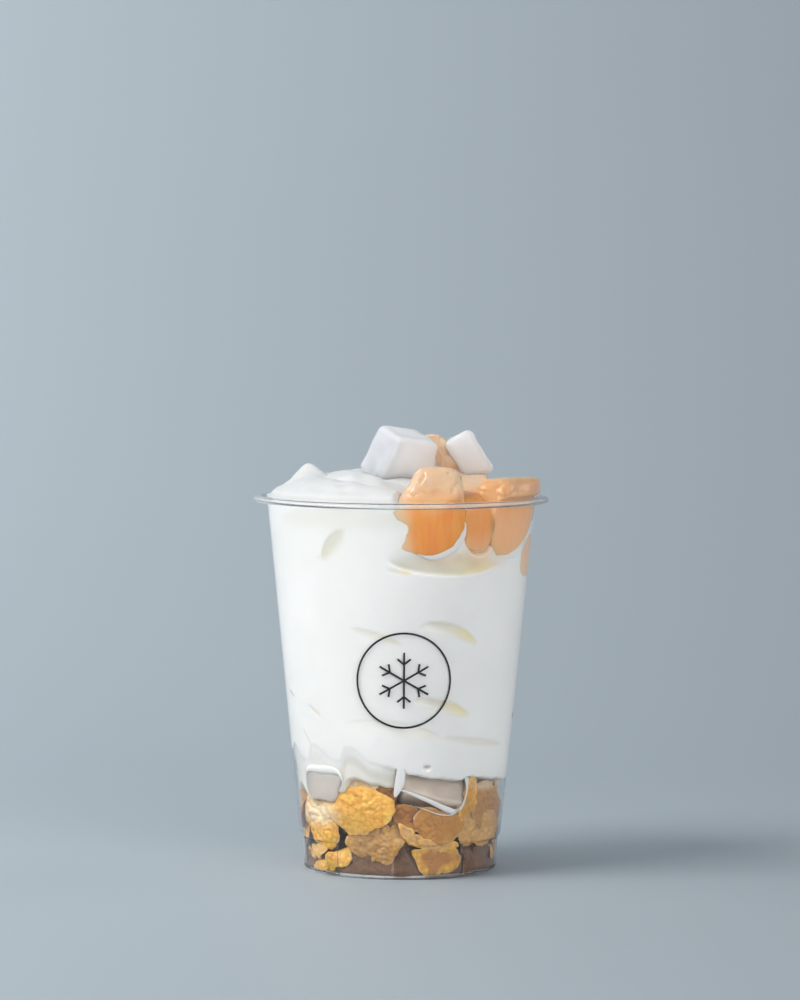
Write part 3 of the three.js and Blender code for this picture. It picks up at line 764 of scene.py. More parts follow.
def cubeBody(spec, seed):
    # A box with rounded edges: a point inside the shrunk box plus the rounding along its outward way. Its
    # cells crowd towards the edges. It is sheared to the three edges that are given, nudged, dented a little
    # and pressed to the wall. Painted shade: the left face is darkened to a cool grey, less so at its edges
    edges = np.array(spec["edges"], float)
    rounding = spec.get("rounding", cubeCut["rounding"])
    sizes = np.linalg.norm(edges, axis=1)
    dense = latticePlaces * 2 - 1
    local = np.sign(dense) * (1 - (1 - np.abs(dense)) ** cubeCut["crowd"]) * sizes / 2
    inner = np.clip(local, rounding - sizes / 2, sizes / 2 - rounding)
    way = local - inner
    spread = np.linalg.norm(way, axis=1)
    local = inner + rounding * way / np.maximum(spread, 1e-9)[:, None]
    nearEdge = np.sort(np.abs(way) / np.maximum(spread, 1e-9)[:, None], axis=1)[:, 1]
    share = local / sizes + 0.5
    index, shift = spec.get("nudge", (0, (0, 0, 0)))
    corner = np.array([index // 4, index // 2 % 2, index % 2])
    weight = np.prod(np.where(corner == 1, share, 1 - share), axis=1)
    points = np.array(spec["corner"], float) + share @ edges + weight[:, None] * np.array(shift, float)
    dents = [waves(points, cubeCut["dentSize"], seed + axis, 12) for axis in range(3)]
    points += cubeCut["dent"] * np.stack(dents, -1)
    points = pressed(turned(points, spec.get("turn", 0)), cubeCut["reach"])
    paintedLeftShade = spec.get("paintedLeftShade", 0) * smooth(0.3, 0, share[:, 0]) * (1 - 0.6 * smooth(0.2, 0.9, nearEdge))
    return (points, latticeQuads, noTriangles), {"paintedLeftShade": paintedLeftShade, "whey": spec["whey"]}


print("panna cotta")
for index, (name, spec) in enumerate(cubes.items()):
    body, values = cubeBody(spec, 40 + 3 * index)
    makePiece(name + "_cube", body, finishes["panna"], values, [name])


peaches = {  # level sections from the bottom up: height, left, right, outer and inner y
    "peach_front": {
        "sections": [
            (100.3, 5.6, 11, -41, -34), (101.1, 3, 13.6, -41.4, -31), (102.6, -0.8, 16, -42, -28.6),
            (106, 0.6, 18.2, -42.4, -27.6), (109, 1.8, 19, -42.6, -27), (111.6, -1.8, 19.2, -42.6, -26.8),
            (113.8, -4.6, 19.4, -42.4, -26.5), (117, -1.4, 19.3, -39.4, -26), (121, 2, 18.8, -37.4, -26),
            (124.6, 4.2, 17.6, -36, -26.5), (126.4, 6.4, 14.6, -34, -28),
        ],
        "blush": 0, "paleAndPaintedLight": [(112, 0.02), (116, 0.35), (121, 0.8)], "paleEndAndHighlight": (6, -1, 0.85),
    },
    "peach_right": {
        "turn": 61,
        "sections": [
            (99.6, -9.5, -4, -40, -34), (102, -11.6, 3.2, -41, -32), (105, -12.4, 7.6, -42, -32),
            (109, -12.8, 12.4, -42.5, -32), (113.5, -12.6, 14.4, -43, -32), (117.6, -12, 17.4, -43.4, -31),
            (120.6, -11, 17, -43, -31), (122.4, -9.4, 15, -41.6, -32),
        ],
        # the pale right end is a painted highlight
        "blush": 0.25, "paleAndPaintedLight": [(108, 0.5), (117, 0.32), (121, 0.36)], "paleEndAndHighlight": (8, 14.5, 0.9),
    },
    "peach_low": {
        "turn": 36,
        "sections": [
            (101, -2.4, 3, -39.4, -32), (103, -4.8, 5, -40.6, -29), (108, -5.8, 5.8, -41.4, -27),
            (114, -6, 5, -41.6, -26), (117.6, -4.6, 3.6, -38, -27), (118.8, -2.4, 2, -36, -29),
        ],
        "blush": 0.35, "paleAndPaintedLight": [(100, 0.6), (108, 0.05)],
    },
    "peach_middle": {
        "sections": [
            (112, 16, 25, -21, -11), (116, 12, 29.5, -22, -7), (120, 10.4, 29, -14, -1),
            (123.5, 10.2, 25.4, -1.8, 5), (127.5, 9.8, 21.5, -2, 6), (131.5, 9, 16, -2.6, 5),
            (135, 7, 12, -3, 3),
        ],
        # its pale share is painted light, lifting flesh that lies in the cubes' shade
        "blush": 0.1, "paleAndPaintedLight": [(114, 0.35), (121, 0.75), (126, 0.95)],
    },
    "peach_side": {
        "turn": 81,
        "sections": [
            (91.6, -4, 4, -39, -33), (94, -8.4, 7.6, -41, -30), (98.5, -9.6, 9.4, -42, -28.5),
            (103, -8, 10.2, -42, -29), (105, -3.4, 7, -40, -32),
        ],
        # its pale share is painted light, lifting flesh that lies in shade at the cup's right side
        "blush": 0.6, "paleAndPaintedLight": [(90, 0.86)],
    },
}
peachCut = {
    "rows": 64, "columns": 96, "squareness": 0.5, "reach": 0.16,
    "lump": 0.3, "lumpSize": 8, "fibre": 0.1, "fibreSize": 1.6, "fibreStretch": (1, 1, 0.12),
    "facet": 0.55, "facetSize": 7, "facetFrom": (112, 117),  # flat cuts with creases, above these heights
    "paleWaver": 0.6,
}


def peachBody(spec, seed):
    # A curve through the sections; each is an oblong x = a |cos t|^p, y = b |sin t|^p with p = squareness.
    # Its skin is pushed about by soft noise, by fine upright fibres and by cuts, -|noise|, and pressed to
    # the wall. Pale, partly the flesh's own paler tone and partly painted light that lifts shaded pieces and
    # paints a highlight on an end: by height, and towards the right end
    table = np.array(spec["sections"], float)
    rows = curveThrough(table, np.linspace(0, len(table) - 1, peachCut["rows"]))
    z, x0, x1, y0, y1 = (rows[:, k:k + 1] for k in range(5))
    angle = np.linspace(0, 2 * math.pi, peachCut["columns"], endpoint=False)[None]

    def squared(v):
        return np.sign(v) * np.abs(v) ** peachCut["squareness"]

    x = (x0 + x1) / 2 + (x1 - x0) / 2 * squared(np.cos(angle))
    y = (y0 + y1) / 2 + (y1 - y0) / 2 * squared(np.sin(angle))
    rings = np.stack([x, y, z + 0 * x], -1)
    out = rings - rings.mean(1, keepdims=True)
    out /= np.maximum(np.linalg.norm(out, axis=-1), 1e-6)[..., None]
    fibres = waves(rings * np.array(peachCut["fibreStretch"]), peachCut["fibreSize"], seed + 1)
    cuts = np.abs(waves(rings, peachCut["facetSize"], seed + 3, 7))
    push = peachCut["lump"] * waves(rings, peachCut["lumpSize"], seed) + peachCut["fibre"] * fibres
    push = push - peachCut["facet"] * smooth(0.5, 0, cuts) * smooth(*peachCut["facetFrom"], z)
    rings = rings + out * push[..., None]
    ends = [rings[k].mean(0) + (0, 0, lift) for k, lift in ((0, -0.5), (-1, 0.5))]
    rings = pressed(turned(rings, spec.get("turn", 0)), peachCut["reach"])
    ends = [turned(e, spec.get("turn", 0)) for e in ends]
    body = closedBody(ends[0], rings, ends[1])
    heights = body[0][:, 2]
    waver = peachCut["paleWaver"] * waves(body[0], 8, seed + 2)
    paleAndPaintedLight = np.interp(heights + waver, *np.array(spec["paleAndPaintedLight"]).T)
    start, end, most = spec.get("paleEndAndHighlight", (99, 100, 0))
    paleAndPaintedLight = np.maximum(paleAndPaintedLight, most * smooth(start, end, np.concatenate([[0], x.ravel(), [0]])))
    return body, {"blush": spec["blush"], "paleAndPaintedLight": paleAndPaintedLight}


print("peach")
for index, (name, spec) in enumerate(peaches.items()):
    body, values = peachBody(spec, 70 + 3 * index)
    makePiece(name + "_flesh", body, finishes["peach"], values, [name])


flakes = [  # outline as turn and height on the wall, depth of its middle behind the wall, tip in degrees,
    # bend across and along it per mm, toast and brown of its middle and rim, milk, shade (0 where not given)
    {"outline": [(-45.5, 22), (-40.8, 25.7), (-34.5, 27.6), (-25.7, 28.7), (-16.7, 28.5), (-9.4, 26.6),
                 (-3.1, 25.3), (-2.4, 22.3), (-4.6, 19.7), (-8.5, 17.5), (-16.5, 15.4), (-25, 13.8),
                 (-31.8, 13.9), (-38.7, 16.2)],
     "deep": 0.5, "tip": -8, "bend": (0.035, 0.02), "toast": (0.14, 0.1), "brown": (0.06, 0)},
    {"outline": [(-35.7, 11.5), (-29.5, 13.8), (-20.7, 14.6), (-11.5, 16.4), (-0.8, 17.5), (2.1, 16.4),
                 (4.5, 13.8), (2.1, 11.6), (-0.9, 9), (-2.9, 6.3), (-8, 3.8), (-13.1, 4.8), (-19.3, 6.1),
                 (-25.8, 6.4), (-32.5, 8.4)],
     "deep": 1.3, "tip": 8, "bend": (0.03, 0.02), "toast": (0.9, 0.6), "shade": 0.1},
    {"outline": [(8.3, 21.6), (15.6, 22.6), (22.7, 21.4), (29.3, 20), (36.2, 19.6), (39.4, 16),
                 (35.8, 12.9), (30.1, 11.4), (23.5, 11), (16, 12.5), (11, 13.7), (8.7, 16.9)],
     "deep": 0.6, "tip": 6, "bend": (0.035, 0.01), "toast": (0.2, 0), "brown": (0.8, 0.7), "shade": 0.04},
    {"outline": [(-3.1, 23), (1.2, 23.6), (7.8, 22.8), (12, 18), (8, 14.4), (3.1, 15), (-0.8, 16.5),
                 (-4.2, 19.6)],
     "deep": 1.8, "tip": -10, "bend": (0.02, 0), "toast": (0.6, 0.2), "brown": (1, 0.7), "shade": 0.2},
    {"outline": [(-1.6, 18.2), (3.1, 16.8), (8, 14.4), (14, 13), (14, 9.6), (7, 11), (3.1, 13),
                 (0.2, 15.4)],
     "deep": 0.9, "tip": 14, "bend": (0.03, 0.04), "toast": (0.5, 0), "milkAndRimHighlight": 0.12, "brown": (0.2, 0)},
    {"outline": [(10, 13.6), (19.2, 12.1), (26.8, 11.3), (34.9, 11.4), (38.2, 10), (32.7, 8.8), (23.6, 8.8),
                 (12, 9.8)],
     "deep": 0.7, "tip": 20, "bend": (0.03, 0.06), "toast": (0.5, 0), "milkAndRimHighlight": 0.12, "brown": (0.2, 0)},
    {"outline": [(39.5, 30.4), (43, 31.6), (49.3, 31), (48.4, 28.4), (46.3, 24.7), (44.9, 21.1),
                 (39.9, 19.2), (34.6, 17.5), (31.6, 19), (35.9, 21.5), (39.1, 24.6), (38.7, 27.8)],
     "deep": 0.5, "tip": 0, "bend": (0.05, 0), "toast": (0.3, 0), "brown": (0.45, 0.2)},
    {"outline": [(45.3, 28.2), (53.7, 29), (66.7, 28.2), (78.3, 23.7), (81, 18), (70, 14.6), (56, 14.4),
                 (46, 18), (44, 24.8)],
     "deep": 1.4, "tip": 0, "bend": (0.03, 0.01), "toast": (0.8, 0.7), "brown": (0.5, 0.4), "shade": 0.3},
    {"outline": [(34.6, 18.4), (39.8, 19.7), (46.3, 21.4), (56.1, 19.8), (70.7, 17.2), (78.5, 13.6),
                 (66, 10.6), (49.9, 10.2), (38.6, 10.8), (34, 13.2)],
     "deep": 0.6, "tip": 4, "bend": (0.035, 0.01), "toast": (0.4, 0.4), "brown": (0.15, 0.2), "milkAndRimHighlight": 0.1,
     "shade": 0.25},
    {"outline": [(6.4, 9.1), (13.1, 9.7), (23.6, 9.2), (36.8, 8.7), (39.6, 5.8), (37.1, 3.6), (25.3, 1.9),
                 (14.5, 0.9), (11.8, 2.4), (9.8, 5.1)],
     "deep": 0.7, "tip": -6, "bend": (0.02, -0.05), "toast": (0.5, -0.3), "brown": (0.85, 0.2),
     "shade": 0.15},
    {"outline": [(-68.4, 17), (-62, 18.6), (-54, 18.4), (-47, 18), (-40, 19.3), (-38.6, 15.1),
                 (-39.4, 10.7), (-43, 8.6), (-54.5, 10), (-65.3, 11.8)],
     "deep": 0.8, "tip": 4, "bend": (0.05, 0.02), "toast": (0, 0)},
    {"outline": [(-74, 25.4), (-61.6, 26.8), (-52, 26), (-44, 24), (-40, 20), (-44, 16), (-56, 15),
                 (-67.8, 15.4), (-79.6, 18.1)],
     "deep": 1.5, "tip": 0, "bend": (0.04, 0.03), "toast": (0.3, 0.2), "milkAndRimHighlight": 0.1},
    {"outline": [(-73, 4.4), (-69, 6.8), (-60, 8.8), (-52, 9.4), (-46, 8), (-54, 6.8), (-62, 5.2),
                 (-68, 3.4)],
     "deep": 0.5, "tip": 16, "bend": (0.05, 0.05), "toast": (0.1, 0), "milkAndRimHighlight": 0.2},
    {"outline": [(-70, 3.4), (-60, 3.2), (-50, 4.6), (-44, 7.2), (-39.9, 9), (-34.6, 10.6), (-31.8, 6.7),
                 (-35.7, 2.8), (-40.7, 3.4), (-49.9, 2), (-59.4, 0.9), (-67, 1.6)],
     "deep": 0.7, "tip": -6, "bend": (0.05, 0.04), "toast": (0.2, 0), "milkAndRimHighlight": 0.05, "shade": 0.08},
    {"outline": [(-39, 23), (-38, 28.4), (-31, 30.6), (-22, 31), (-14, 30), (-12, 27), (-14, 23)],
     "deep": 3, "tip": 0, "bend": (0.03, 0), "toast": (0.5, 0.5), "milkAndRimHighlight": 0.6},
    # The last two are dark patches of painted shade, standing for the shaded gaps between the flakes
    {"outline": [(-13, 24), (-13, 29.4), (-8.6, 29.8), (-4, 29.6), (-4, 24)],
     "deep": 3.1, "tip": 0, "bend": (0.03, 0), "toast": (1, 1), "brown": (1, 1), "shade": 0.3},
    {"outline": [(-12, 15), (-12, 21), (3, 21.4), (3, 15)],
     "deep": 2.8, "tip": 0, "bend": (0.03, 0), "toast": (1, 1), "brown": (1, 1), "shade": 0.7},
]
milkSpots = [  # melted ice cream on the flakes: turn, height, half length, half height, strength
    (-54, 19.8, 9, 4.2, 0.66), (-72, 24, 5, 4, 0.5), (60, 29, 8, 2.6, 0.6), (150, 27, 14, 3, 0.7),
    (-130, 28, 12, 3, 0.7),
]
flakeCut = {
    "thick": 0.7, "blister": 0.19, "blisterSize": 3.8, "pimple": 0.05, "pimpleSize": 1.1, "warp": 0.3,
    "rimShares": [0.97, 0.8, 0.5, 0.2],  # of the reach, on the side that faces inwards
    "front": (22, 94), "back": (9, 52), "crumb": (5, 28),  # rings and columns
    # paintedRimHighlight: the most of the painted highlight along a flake's front rim
    "clear": 0.05, "paintedRimHighlight": 0.35,
    "floor": (0.9, 3.1), "floorStep": (27, 24),  # heights inside the foot, and where one becomes the other
}
loose = {  # flakes of random reach and lie: turns, heights, radius, reach
    # shade: painted shade of the flakes that lie deep in the pile
    "inner": {"count": 18, "turns": (-84, 84), "heights": (13, 23), "radius": 24.6, "reach": (6, 9.4),
              "shade": 0.35},
    "low": {"count": 14, "turns": (-80, 80), "heights": (4, 9), "radius": 25.6, "reach": (4, 6),
            "shade": 1.0},
    "tiers": {"rows": [(7, 27, 9), (12.5, 28, 9), (18, 28.6, 9), (23.5, 29, 8)],  # height, radius and count
              "turns": (88, 278), "sway": [(-5, 5), (-1.4, 1.4), (0.2, 1.2)], "reach": (6, 9.4)},
    "crumbs": {"count": 26, "turns": (78, 282), "heights": (2.4, 6), "radius": 28.2, "reach": (1.4, 3.4)},
    "lie": ([-22, -90, -16], [22, 90, 16]),  # least and most tip, spin and yaw
    "bend": ([-0.03, -0.02], [0.07, 0.06]),
    "oval": [1.1, 1, 0.8, 1, 1.1, 1, 0.8, 1],
}
heap = {  # radius and height of the middle of the heap, out of sight behind the flakes. It is painted dark as shade, and its skirt at the foot shows through the standing ring as painted shade
    "profile": [
        (18, 3.2), (23.8, 3.3), (25.1, 2.6), (25.8, 1.2), (26.4, 0.3), (28.1, 0.3), (28.8, 1.5), (28.8, 3),
        (28, 4.6), (27.4, 7.5), (26, 11), (25.4, 16), (24.6, 20), (20, 24), (12, 25.2),
    ],
    "foot": 3.1, "top": 25.4, "columns": 144, "lump": 0.6,
    "values": {"creaseShade": 0.8, "toast": 1.0, "brown": 0.0, "milkAndRimHighlight": 0.0, "shade": 0.9},
}


def bentBy(x, y, curve):
    # A strip rolled on a circle of radius 1/curve: x' = (R - y) sin(x/R), y' = R - (R - y) cos(x/R)
    radius = 1 / curve if abs(curve) > 1e-4 else 1e4
    return (radius - y) * np.sin(x / radius), radius - (radius - y) * np.cos(x / radius)


def rotated(points, axis, degrees):
    # Points turned about one axis: the next two coordinates are mixed by cosine and sine
    c, s = math.cos(math.radians(degrees)), math.sin(math.radians(degrees))
    a, b = (axis + 1) % 3, (axis + 2) % 3
    result = points.copy()
    result[..., a] = c * points[..., a] - s * points[..., b]
    result[..., b] = s * points[..., a] + c * points[..., b]
    return result


def wallFlake(flake):
    # A flake whose outline is given on the wall: x = the turn from its middle times its radius
    outline = np.array(flake["outline"], float)
    turn, z = outline.mean(0)
    r = wallInside(z) - flake["deep"]
    shape = np.stack([np.radians(outline[:, 0] - turn) * r, outline[:, 1] - z], -1)
    return {"brown": (0, 0), "milkAndRimHighlight": 0, "shade": 0, **flake, "place": (turn, z, r), "shape": shape,
            "lie": (flake["tip"], 0, 0)}


def flakeBody(flake, grid, seed):
    # A sheet inside a ragged outline, whose reach at each angle lies between those of its corners. It is
    # thickened both ways, blistered by |noise|, which makes round blisters between creases, then bent
    # across and along and put in its place. Crease shade: painted shade where |noise| is low, in the creases
    rings, columns = grid
    turn, z, r = flake["place"]
    corners = flake["shape"]
    angle = np.linspace(0, 2 * math.pi, columns, endpoint=False)
    cornerAngles = np.arctan2(corners[:, 1], corners[:, 0])
    outline = np.interp(angle, cornerAngles, np.hypot(*corners.T), period=2 * math.pi)
    outline = (np.roll(outline, 2) + 2 * outline + np.roll(outline, -2)) / 4
    way = np.stack([np.cos(angle), 0 * angle, np.sin(angle)], -1)
    rim = way * 9
    outline *= 1 + 0.03 * waves(rim, 5, seed) + 0.02 * waves(rim, 2, seed + 1)
    inShares = np.linspace(0, 1, rings + 1)[1:] ** 0.85
    outShares = np.array(flakeCut["rimShares"])
    shares = np.concatenate([inShares, outShares])[:, None]
    face = np.concatenate([np.ones(rings), -np.ones(len(outShares))])[:, None]
    flat = (shares * outline)[..., None] * way
    noise = waves(flat, flakeCut["blisterSize"], seed + 2)
    blister = np.abs(noise) + 0.45 * np.abs(waves(flat, 0.55 * flakeCut["blisterSize"], seed + 3))
    pimple = waves(flat, flakeCut["pimpleSize"], seed + 4)
    edgeThin = np.sqrt(np.clip(1.02 - shares**6, 0.02, 1))
    out = face * flakeCut["thick"] / 2 * edgeThin
    rough = (flakeCut["blister"] * blister + flakeCut["pimple"] * pimple) * edgeThin
    out = out + rough * np.where(face > 0, 1, 0.6)
    out = out + flakeCut["warp"] * waves(flat, 11, seed + 5)
    across, along = flake["bend"]
    x, y = bentBy(flat[..., 0], -out, across)
    up, y = bentBy(flat[..., 2], y, along)
    points = np.stack([x, y, up], -1)
    body = cappedBody(points)
    tip, spin, yaw = flake["lie"]
    placed = rotated(rotated(rotated(body[0], 0, tip), 1, spin), 2, yaw) + np.array([0, -r, z])
    placed[:, 2] = np.maximum(placed[:, 2], flakeFloor(placed))
    placed = pressed(turned(placed, turn), -flakeCut["clear"])
    inRim = smooth(0.55, 0.9, shares + 0.18 * waves(flat, 5, seed + 6))
    # Painted highlight: a pale line along the front rim, laid on through the milk value
    edge = smooth(0.9, 1, shares) * flakeCut["paintedRimHighlight"] * (0.6 + 0.4 * waves(flat, 4, seed + 7)) * (face > 0)
    milkAndRimHighlight = np.maximum(flake["milkAndRimHighlight"], np.maximum(spotted(placed, milkSpots), padded(np.clip(edge, 0, 1))))
    return (placed, body[1], body[2]), {
        "creaseShade": padded(smooth(0.55, 0.05, blister) * 0.4), "toast": padded(mix(*flake["toast"], inRim)),
        "brown": padded(mix(*flake["brown"], inRim)), "milkAndRimHighlight": milkAndRimHighlight, "shade": flake["shade"],
    }


def flakeFloor(points):  # lowest height inside the cup: its raised panel, and a groove over the standing ring
    r = np.hypot(points[..., 0], points[..., 1])
    return mix(*flakeCut["floor"], smooth(*flakeCut["floorStep"], r))


def heapCore():
    # The profile turned round the axis, made lumpy by soft noise above its foot
    r, z = np.array(heap["profile"], float).T[..., None]
    turn = np.linspace(0, 360, heap["columns"], endpoint=False)[None]
    lumps = heap["lump"] * waves(around(turn, r, z), 5, 5) * smooth(2, 7, z)
    return closedBody((0, 0, heap["foot"]), around(turn, r + lumps, z), (0, 0, heap["top"]))


def evenTurn(kind, place, count):  # turns shared out evenly between the first and the last
    first, last = kind["turns"]
    return first + (last - first) * place / count


def loosePlaces(rng):
    # Turn, height, radius, reach and shade of each: rings behind the front flakes, tiers round the back, and
    # crumbs below them
    places = []
    for kind in (loose["inner"], loose["low"]):
        for k in range(kind["count"]):
            turn = evenTurn(kind, k + 0.5, kind["count"])
            places.append((turn, rng.uniform(*kind["heights"]), kind["radius"], kind["reach"], kind["shade"]))
    tiers, crumbs = loose["tiers"], loose["crumbs"]
    for z, r, count in tiers["rows"]:
        for k in range(count):
            aside, up, out = (rng.uniform(*sway) for sway in tiers["sway"])
            places.append((evenTurn(tiers, k + 0.5, count) + aside, z + up, r + out, tiers["reach"], 0))
    for k in range(crumbs["count"]):
        turn = evenTurn(crumbs, k + rng.uniform(0, 1), crumbs["count"])
        places.append((turn, rng.uniform(*crumbs["heights"]), crumbs["radius"], crumbs["reach"], 0))
    return places


def looseFlakes():
    rng = np.random.default_rng(8)
    corner = np.radians(45 * np.arange(8))
    made = []
    for turn, z, r, reach, shade in loosePlaces(rng):
        size = rng.uniform(*reach)
        reaches = size * rng.uniform(0.72, 1.15, 8) * np.array(loose["oval"])
        shape = np.stack([reaches * np.cos(corner), reaches * np.sin(corner)], -1)
        lie = rng.uniform(*loose["lie"])
        bend = rng.uniform(*loose["bend"])
        toast = rng.uniform(-0.1, 1)
        brown = rng.uniform(-0.5, 0.9)
        made.append({
            "place": (turn, z, r), "shape": shape, "lie": lie, "bend": bend, "toast": (toast, toast - 0.2),
            "brown": (brown, brown - 0.3), "milkAndRimHighlight": 0, "shade": shade,
        })
    return made


def flakePile():  # the front flakes, the loose ones and the core as one body
    made = [flakeBody(wallFlake(f), flakeCut["front"], 200 + 9 * k) for k, f in enumerate(flakes)]
    others = looseFlakes()
    whole = len(others) - loose["crumbs"]["count"]
    for k, flake in enumerate(others):
        made.append(flakeBody(flake, flakeCut["back" if k < whole else "crumb"], 500 + 9 * k))
    made.append((heapCore(), heap["values"]))
    values = {
        key: np.concatenate([np.broadcast_to(given[key], len(body[0])) for body, given in made])
        for key in heap["values"]
    }
    return joinBodies([body for body, given in made]), values


print("cornflakes")
pile, pileValues = flakePile()
makePiece("cornflake_heap", pile, finishes["flake"], pileValues, ["cornflakes"])


smears = [  # ice cream on the wall, each a depth and a path: turn, height, half width
    (0.8, [(7.4, 100.7, 0.12), (11.4, 99.9, 0.8), (15.4, 100.1, 1.25), (20, 101.2, 1.45), (24.4, 103, 1.3),
           (27.4, 105.4, 0.9), (28.6, 108, 0.55), (28.2, 110.4, 0.1)]),
    (0.8, [(84.5, 109.4, 0.3), (80, 107, 0.75), (75.5, 104.7, 0.95), (70, 102, 1.0), (66.6, 100.2, 0.9),
           (60.1, 98.9, 0.7), (53.5, 98.4, 0.15)]),
    (0.5, [(-61, 31.4, 0.3), (-59, 32.6, 0.8), (-55, 33.1, 1.15), (-50, 33.2, 1.2), (-44, 33.4, 1.2),
           (-38.6, 33.3, 1.0), (-35.4, 32.8, 0.7), (-33.4, 31.4, 0.3), (-32.4, 29.6, 0.16),
           (-33.8, 27.8, 0.12)]),
    (0.3, [(-61, 31.8, 0.25), (-61.8, 29.2, 0.2), (-61.2, 26.8, 0.17), (-59, 24.6, 0.14), (-56, 23.2, 0.1)]),
    (0.5, [(0.6, 35, 1.3), (0.2, 32.4, 1.5), (-0.6, 29.8, 1.4), (-2, 27.4, 0.9), (-2.8, 26, 0.3)]),
    (0.5, [(0.4, 28.2, 0.2), (5, 27.2, 0.45), (9.7, 26.1, 0.55), (16, 24.6, 0.65), (21.9, 23, 0.8),
           (27, 21.7, 0.9), (31, 21, 0.8), (34.4, 21.4, 0.45)]),
    (0.3, [(8, 23.2, 0.08), (15, 21.8, 0.16), (22, 20.4, 0.2), (28.9, 20, 0.2), (33, 20.9, 0.25)]),
    (0.4, [(31, 20.9, 0.3), (34.6, 21.5, 0.5), (37.2, 23.6, 0.4), (38.6, 26.6, 0.35), (38.8, 29, 0.5),
           (38, 31.4, 0.9)]),
]
smearCut = {"reach": 0.2, "steps": 12, "around": 14, "thinBelow": 0.5}  # thinner where it is narrower


def smearBody(deep, path):
    # A flat bead along a curve through the path's points: across it, cos t times the half width, and
    # into the cup, (sin t - 1) / 2 times its depth
    table = np.array(path, float)
    at = np.linspace(0, len(table) - 1, (len(table) - 1) * smearCut["steps"] + 1)
    line = curveThrough(table, at)
    wall = wallInside(line[:, 1])
    s = np.radians(line[:, 0]) * wall
    step = np.stack([np.gradient(s), np.gradient(line[:, 1])], -1)
    step /= np.linalg.norm(step, axis=1)[:, None]
    angle = np.linspace(0, 2 * math.pi, smearCut["around"], endpoint=False)[None]
    wide = line[:, 2:3] * np.cos(angle)
    turn = np.degrees((s[:, None] - step[:, 1:2] * wide) / wall[:, None])
    z = line[:, 1:2] + step[:, 0:1] * wide
    inward = deep * (1 - np.sin(angle)) / 2 * np.minimum(1, line[:, 2:3] / smearCut["thinBelow"])
    rings = around(turn, wallInside(z) + smearCut["reach"] - inward, z)
    return cappedBody(rings)


print("smears")
smearShape = joinBodies([smearBody(deep, path) for deep, path in smears])
smearValues = {"recessShade": 0.0, "yellow": 0.0, "rosy": 0.0}
makePiece("cream_smears", smearShape, finishes["cream"], smearValues)


ornament = {
    "midTurn": 1.6, "midZ": 62, "ringR": 14.5, "starR": 8.6, "arms": 6,
    "line": 0.3, "thick": 0.1, "proud": 0.03,
    "barbAt": 0.58, "barbLong": 0.3, "barbTurn": 0.9,  # shares of the arm, and radians
    "ringSteps": 161, "strokeSteps": 12, "around": 8,
}


def inkStroke(path):
    # A thin flat bead along a path given in mm along and up the outside of the wall
    step = np.gradient(path, axis=0)
    step /= np.linalg.norm(step, axis=1)[:, None]
    angle = np.linspace(0, 2 * math.pi, ornament["around"], endpoint=False)[None]
    wide = ornament["line"] * np.cos(angle)
    x = path[:, :1] - step[:, 1:2] * wide
    z = ornament["midZ"] + path[:, 1:2] + step[:, :1] * wide
    wall = wallInside(z) + cup["thick"]
    turn = ornament["midTurn"] + np.degrees(x / wall)
    lift = ornament["proud"] + ornament["thick"] / 2 * (np.sin(angle) - 1)
    return cappedBody(around(turn, wall + lift, z))


def heading(angle):
    return np.stack([np.cos(angle), np.sin(angle)], -1)


def ornamentBody():
    # A plain ring, and inside it a six-armed star of ice with two short barbs on each arm
    strokes = [inkStroke(ornament["ringR"] * heading(np.linspace(0, 2 * math.pi, ornament["ringSteps"])))]
    share = np.linspace(0, 1, ornament["strokeSteps"])[:, None]
    for k in range(ornament["arms"]):
        way = math.radians(90 + 360 * k / ornament["arms"])
        arm = ornament["starR"] * heading(way)
        strokes.append(inkStroke(mix(0 * arm, arm, share)))
        foot = ornament["barbAt"] * arm
        for side in (-1, 1):
            barb = ornament["barbLong"] * ornament["starR"] * heading(way + side * ornament["barbTurn"])
            strokes.append(inkStroke(mix(foot, foot + barb, share)))
    return joinBodies(strokes)


print("ornament")
makePiece("printed_ornament", ornamentBody(), finishes["ink"], {})


studio = {  # in metres
    # The floor's two colours are painted light: paler on the lit left, darker on the right
    "floor": {"paleAndPaintedLight": (0.555, 0.625, 0.675), "paintedDarkSide": (0.365, 0.415, 0.455), "across": (-0.3, 0.3),
              "plain": (0.43, 0.475, 0.51), "roughness": 0.55},
    "bendY": 0.25, "bendR": 0.9, "near": -3.0, "halfWide": 3.5, "height": 3.4,
    "sky": (0.88, 0.94, 1.0), "skyStrength": 0.32,
    "aim": (0, 0, 0.06),
    "key": {"place": (-1.2, -0.65, 1.5), "size": 0.9, "power": 21.5, "color": (1, 0.99, 0.97)},
    "fill": {"place": (1.3, -2.1, 0.45), "size": 1.6, "power": 23, "color": (1, 0.99, 0.98)},
    "side": {"place": (1.1, 0.4, 0.5), "size": 0.6, "power": 1.8, "color": (1, 0.99, 0.98)},
    "back": {"place": (-1.6, 0.1, 1.0), "size": 1.2, "power": 6, "color": (1, 1, 1)},
}


def sweepBody():
    # Floor and backdrop in one sheet: level, then a quarter circle, then upright
    bend = np.linspace(0, math.pi / 2, 40)
    back = studio["bendY"] + studio["bendR"]
    y = np.concatenate([[studio["near"]], studio["bendY"] + studio["bendR"] * np.sin(bend), [back]])
    z = np.concatenate([[0], studio["bendR"] * (1 - np.cos(bend)), [studio["height"]]])
    x = np.array([-studio["halfWide"], studio["halfWide"]])
    sheet = np.stack(np.broadcast_arrays(x[None], y[:, None], z[:, None]), -1)
    rows = np.arange(len(y) - 1) * 2
    quads = np.stack([rows, rows + 1, rows + 3, rows + 2], -1)
    return sheet.reshape(-1, 3) / toMetres, quads, noTriangles


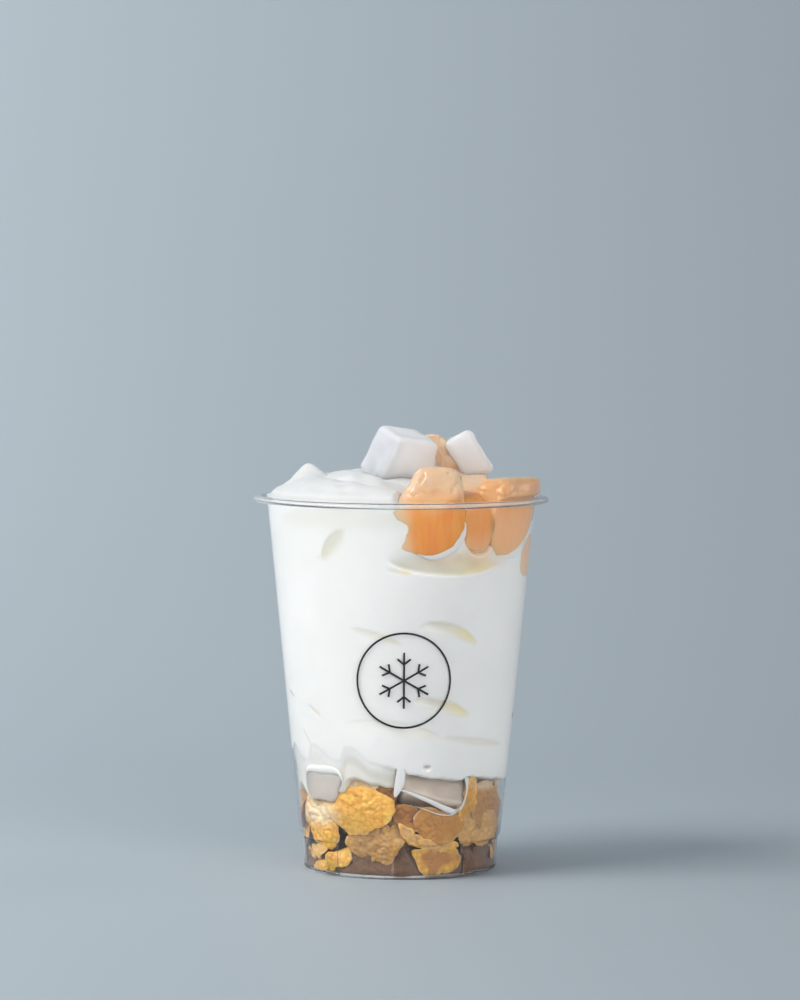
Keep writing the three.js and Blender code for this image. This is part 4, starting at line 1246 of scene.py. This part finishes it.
def floorFinish():
    # Painted light: paler to the left and darker to the right, as if the studio sheet were lit from one side,
    # with a faint mottle
    look = studio["floor"]
    dull = {"Specular IOR Level": 0.3}
    finish, tree, shader = newFinish("floorFinish", look["plain"], look["roughness"], dull)
    axes = addNode(tree, "ShaderNodeSeparateXYZ", {0: ownPlace(tree)})
    inputs = {"Value": axes.outputs["X"], "From Min": look["across"][0], "From Max": look["across"][1]}
    share = addNode(tree, "ShaderNodeMapRange", inputs).outputs[0]
    fall = addMix(tree, share, (*look["paleAndPaintedLight"], 1), (*look["paintedDarkSide"], 1))
    faint = addMottle(tree, (0.985, 0.985, 0.985), (1, 1, 1), 4, 0.3)["Color"]
    setInputs(tree, shader, {"Base Color": addMix(tree, 1, fall, faint, blend_type="MULTIPLY")})
    clearWhere(tree, shader, addNode(tree, "ShaderNodeNewGeometry", {}).outputs["Backfacing"], (1, 1, 1))
    return finish


def addLight(name, light):
    data = bpy.data.lights.new(name, "AREA")
    data.shape = "SQUARE"
    data.size = light["size"]
    data.energy = light["power"]
    data.color = light["color"]
    lamp = addObject(name, data)
    lamp.location = light["place"]
    way = np.array(studio["aim"]) - np.array(light["place"])
    lamp.rotation_euler = Vector(way).to_track_quat("-Z", "Y").to_euler()


def addStudio():
    mesh = fillMesh("studio_sweep", sweepBody(), {})
    mesh.materials.append(floorFinish())
    addObject("studio_sweep", mesh)
    for name in ("key", "fill", "side", "back"):
        addLight(name + "Light", studio[name])
    world = bpy.data.worlds.new("studioSky")
    bpy.context.scene.world = world
    world.use_nodes = True
    sky = {"Color": (*studio["sky"], 1), "Strength": studio["skyStrength"]}
    setInputs(world.node_tree, world.node_tree.nodes["Background"], sky)


camera = {
    "y": -1.3889, "z": 0.1953, "pitch": 3.317, "roll": -0.223, "lens": 161.2, "sensor": 36, "shift": -0.0024,
    "clip": (0.05, 20),
}


def addCamera():
    data = bpy.data.cameras.new("camera")
    data.lens = camera["lens"]
    data.sensor_width = camera["sensor"]
    data.shift_x = camera["shift"]
    data.clip_start, data.clip_end = camera["clip"]
    eye = addObject("camera", data)
    eye.location = (0, camera["y"], camera["z"])
    eye.rotation_mode = "XYZ"
    eye.rotation_euler = (math.radians(90 - camera["pitch"]), math.radians(camera["roll"]), 0)
    bpy.context.scene.camera = eye


print("studio")
addStudio()
addCamera()
scene = bpy.context.scene
scene.view_settings.view_transform = "Standard"
scene.view_settings.look = "None"
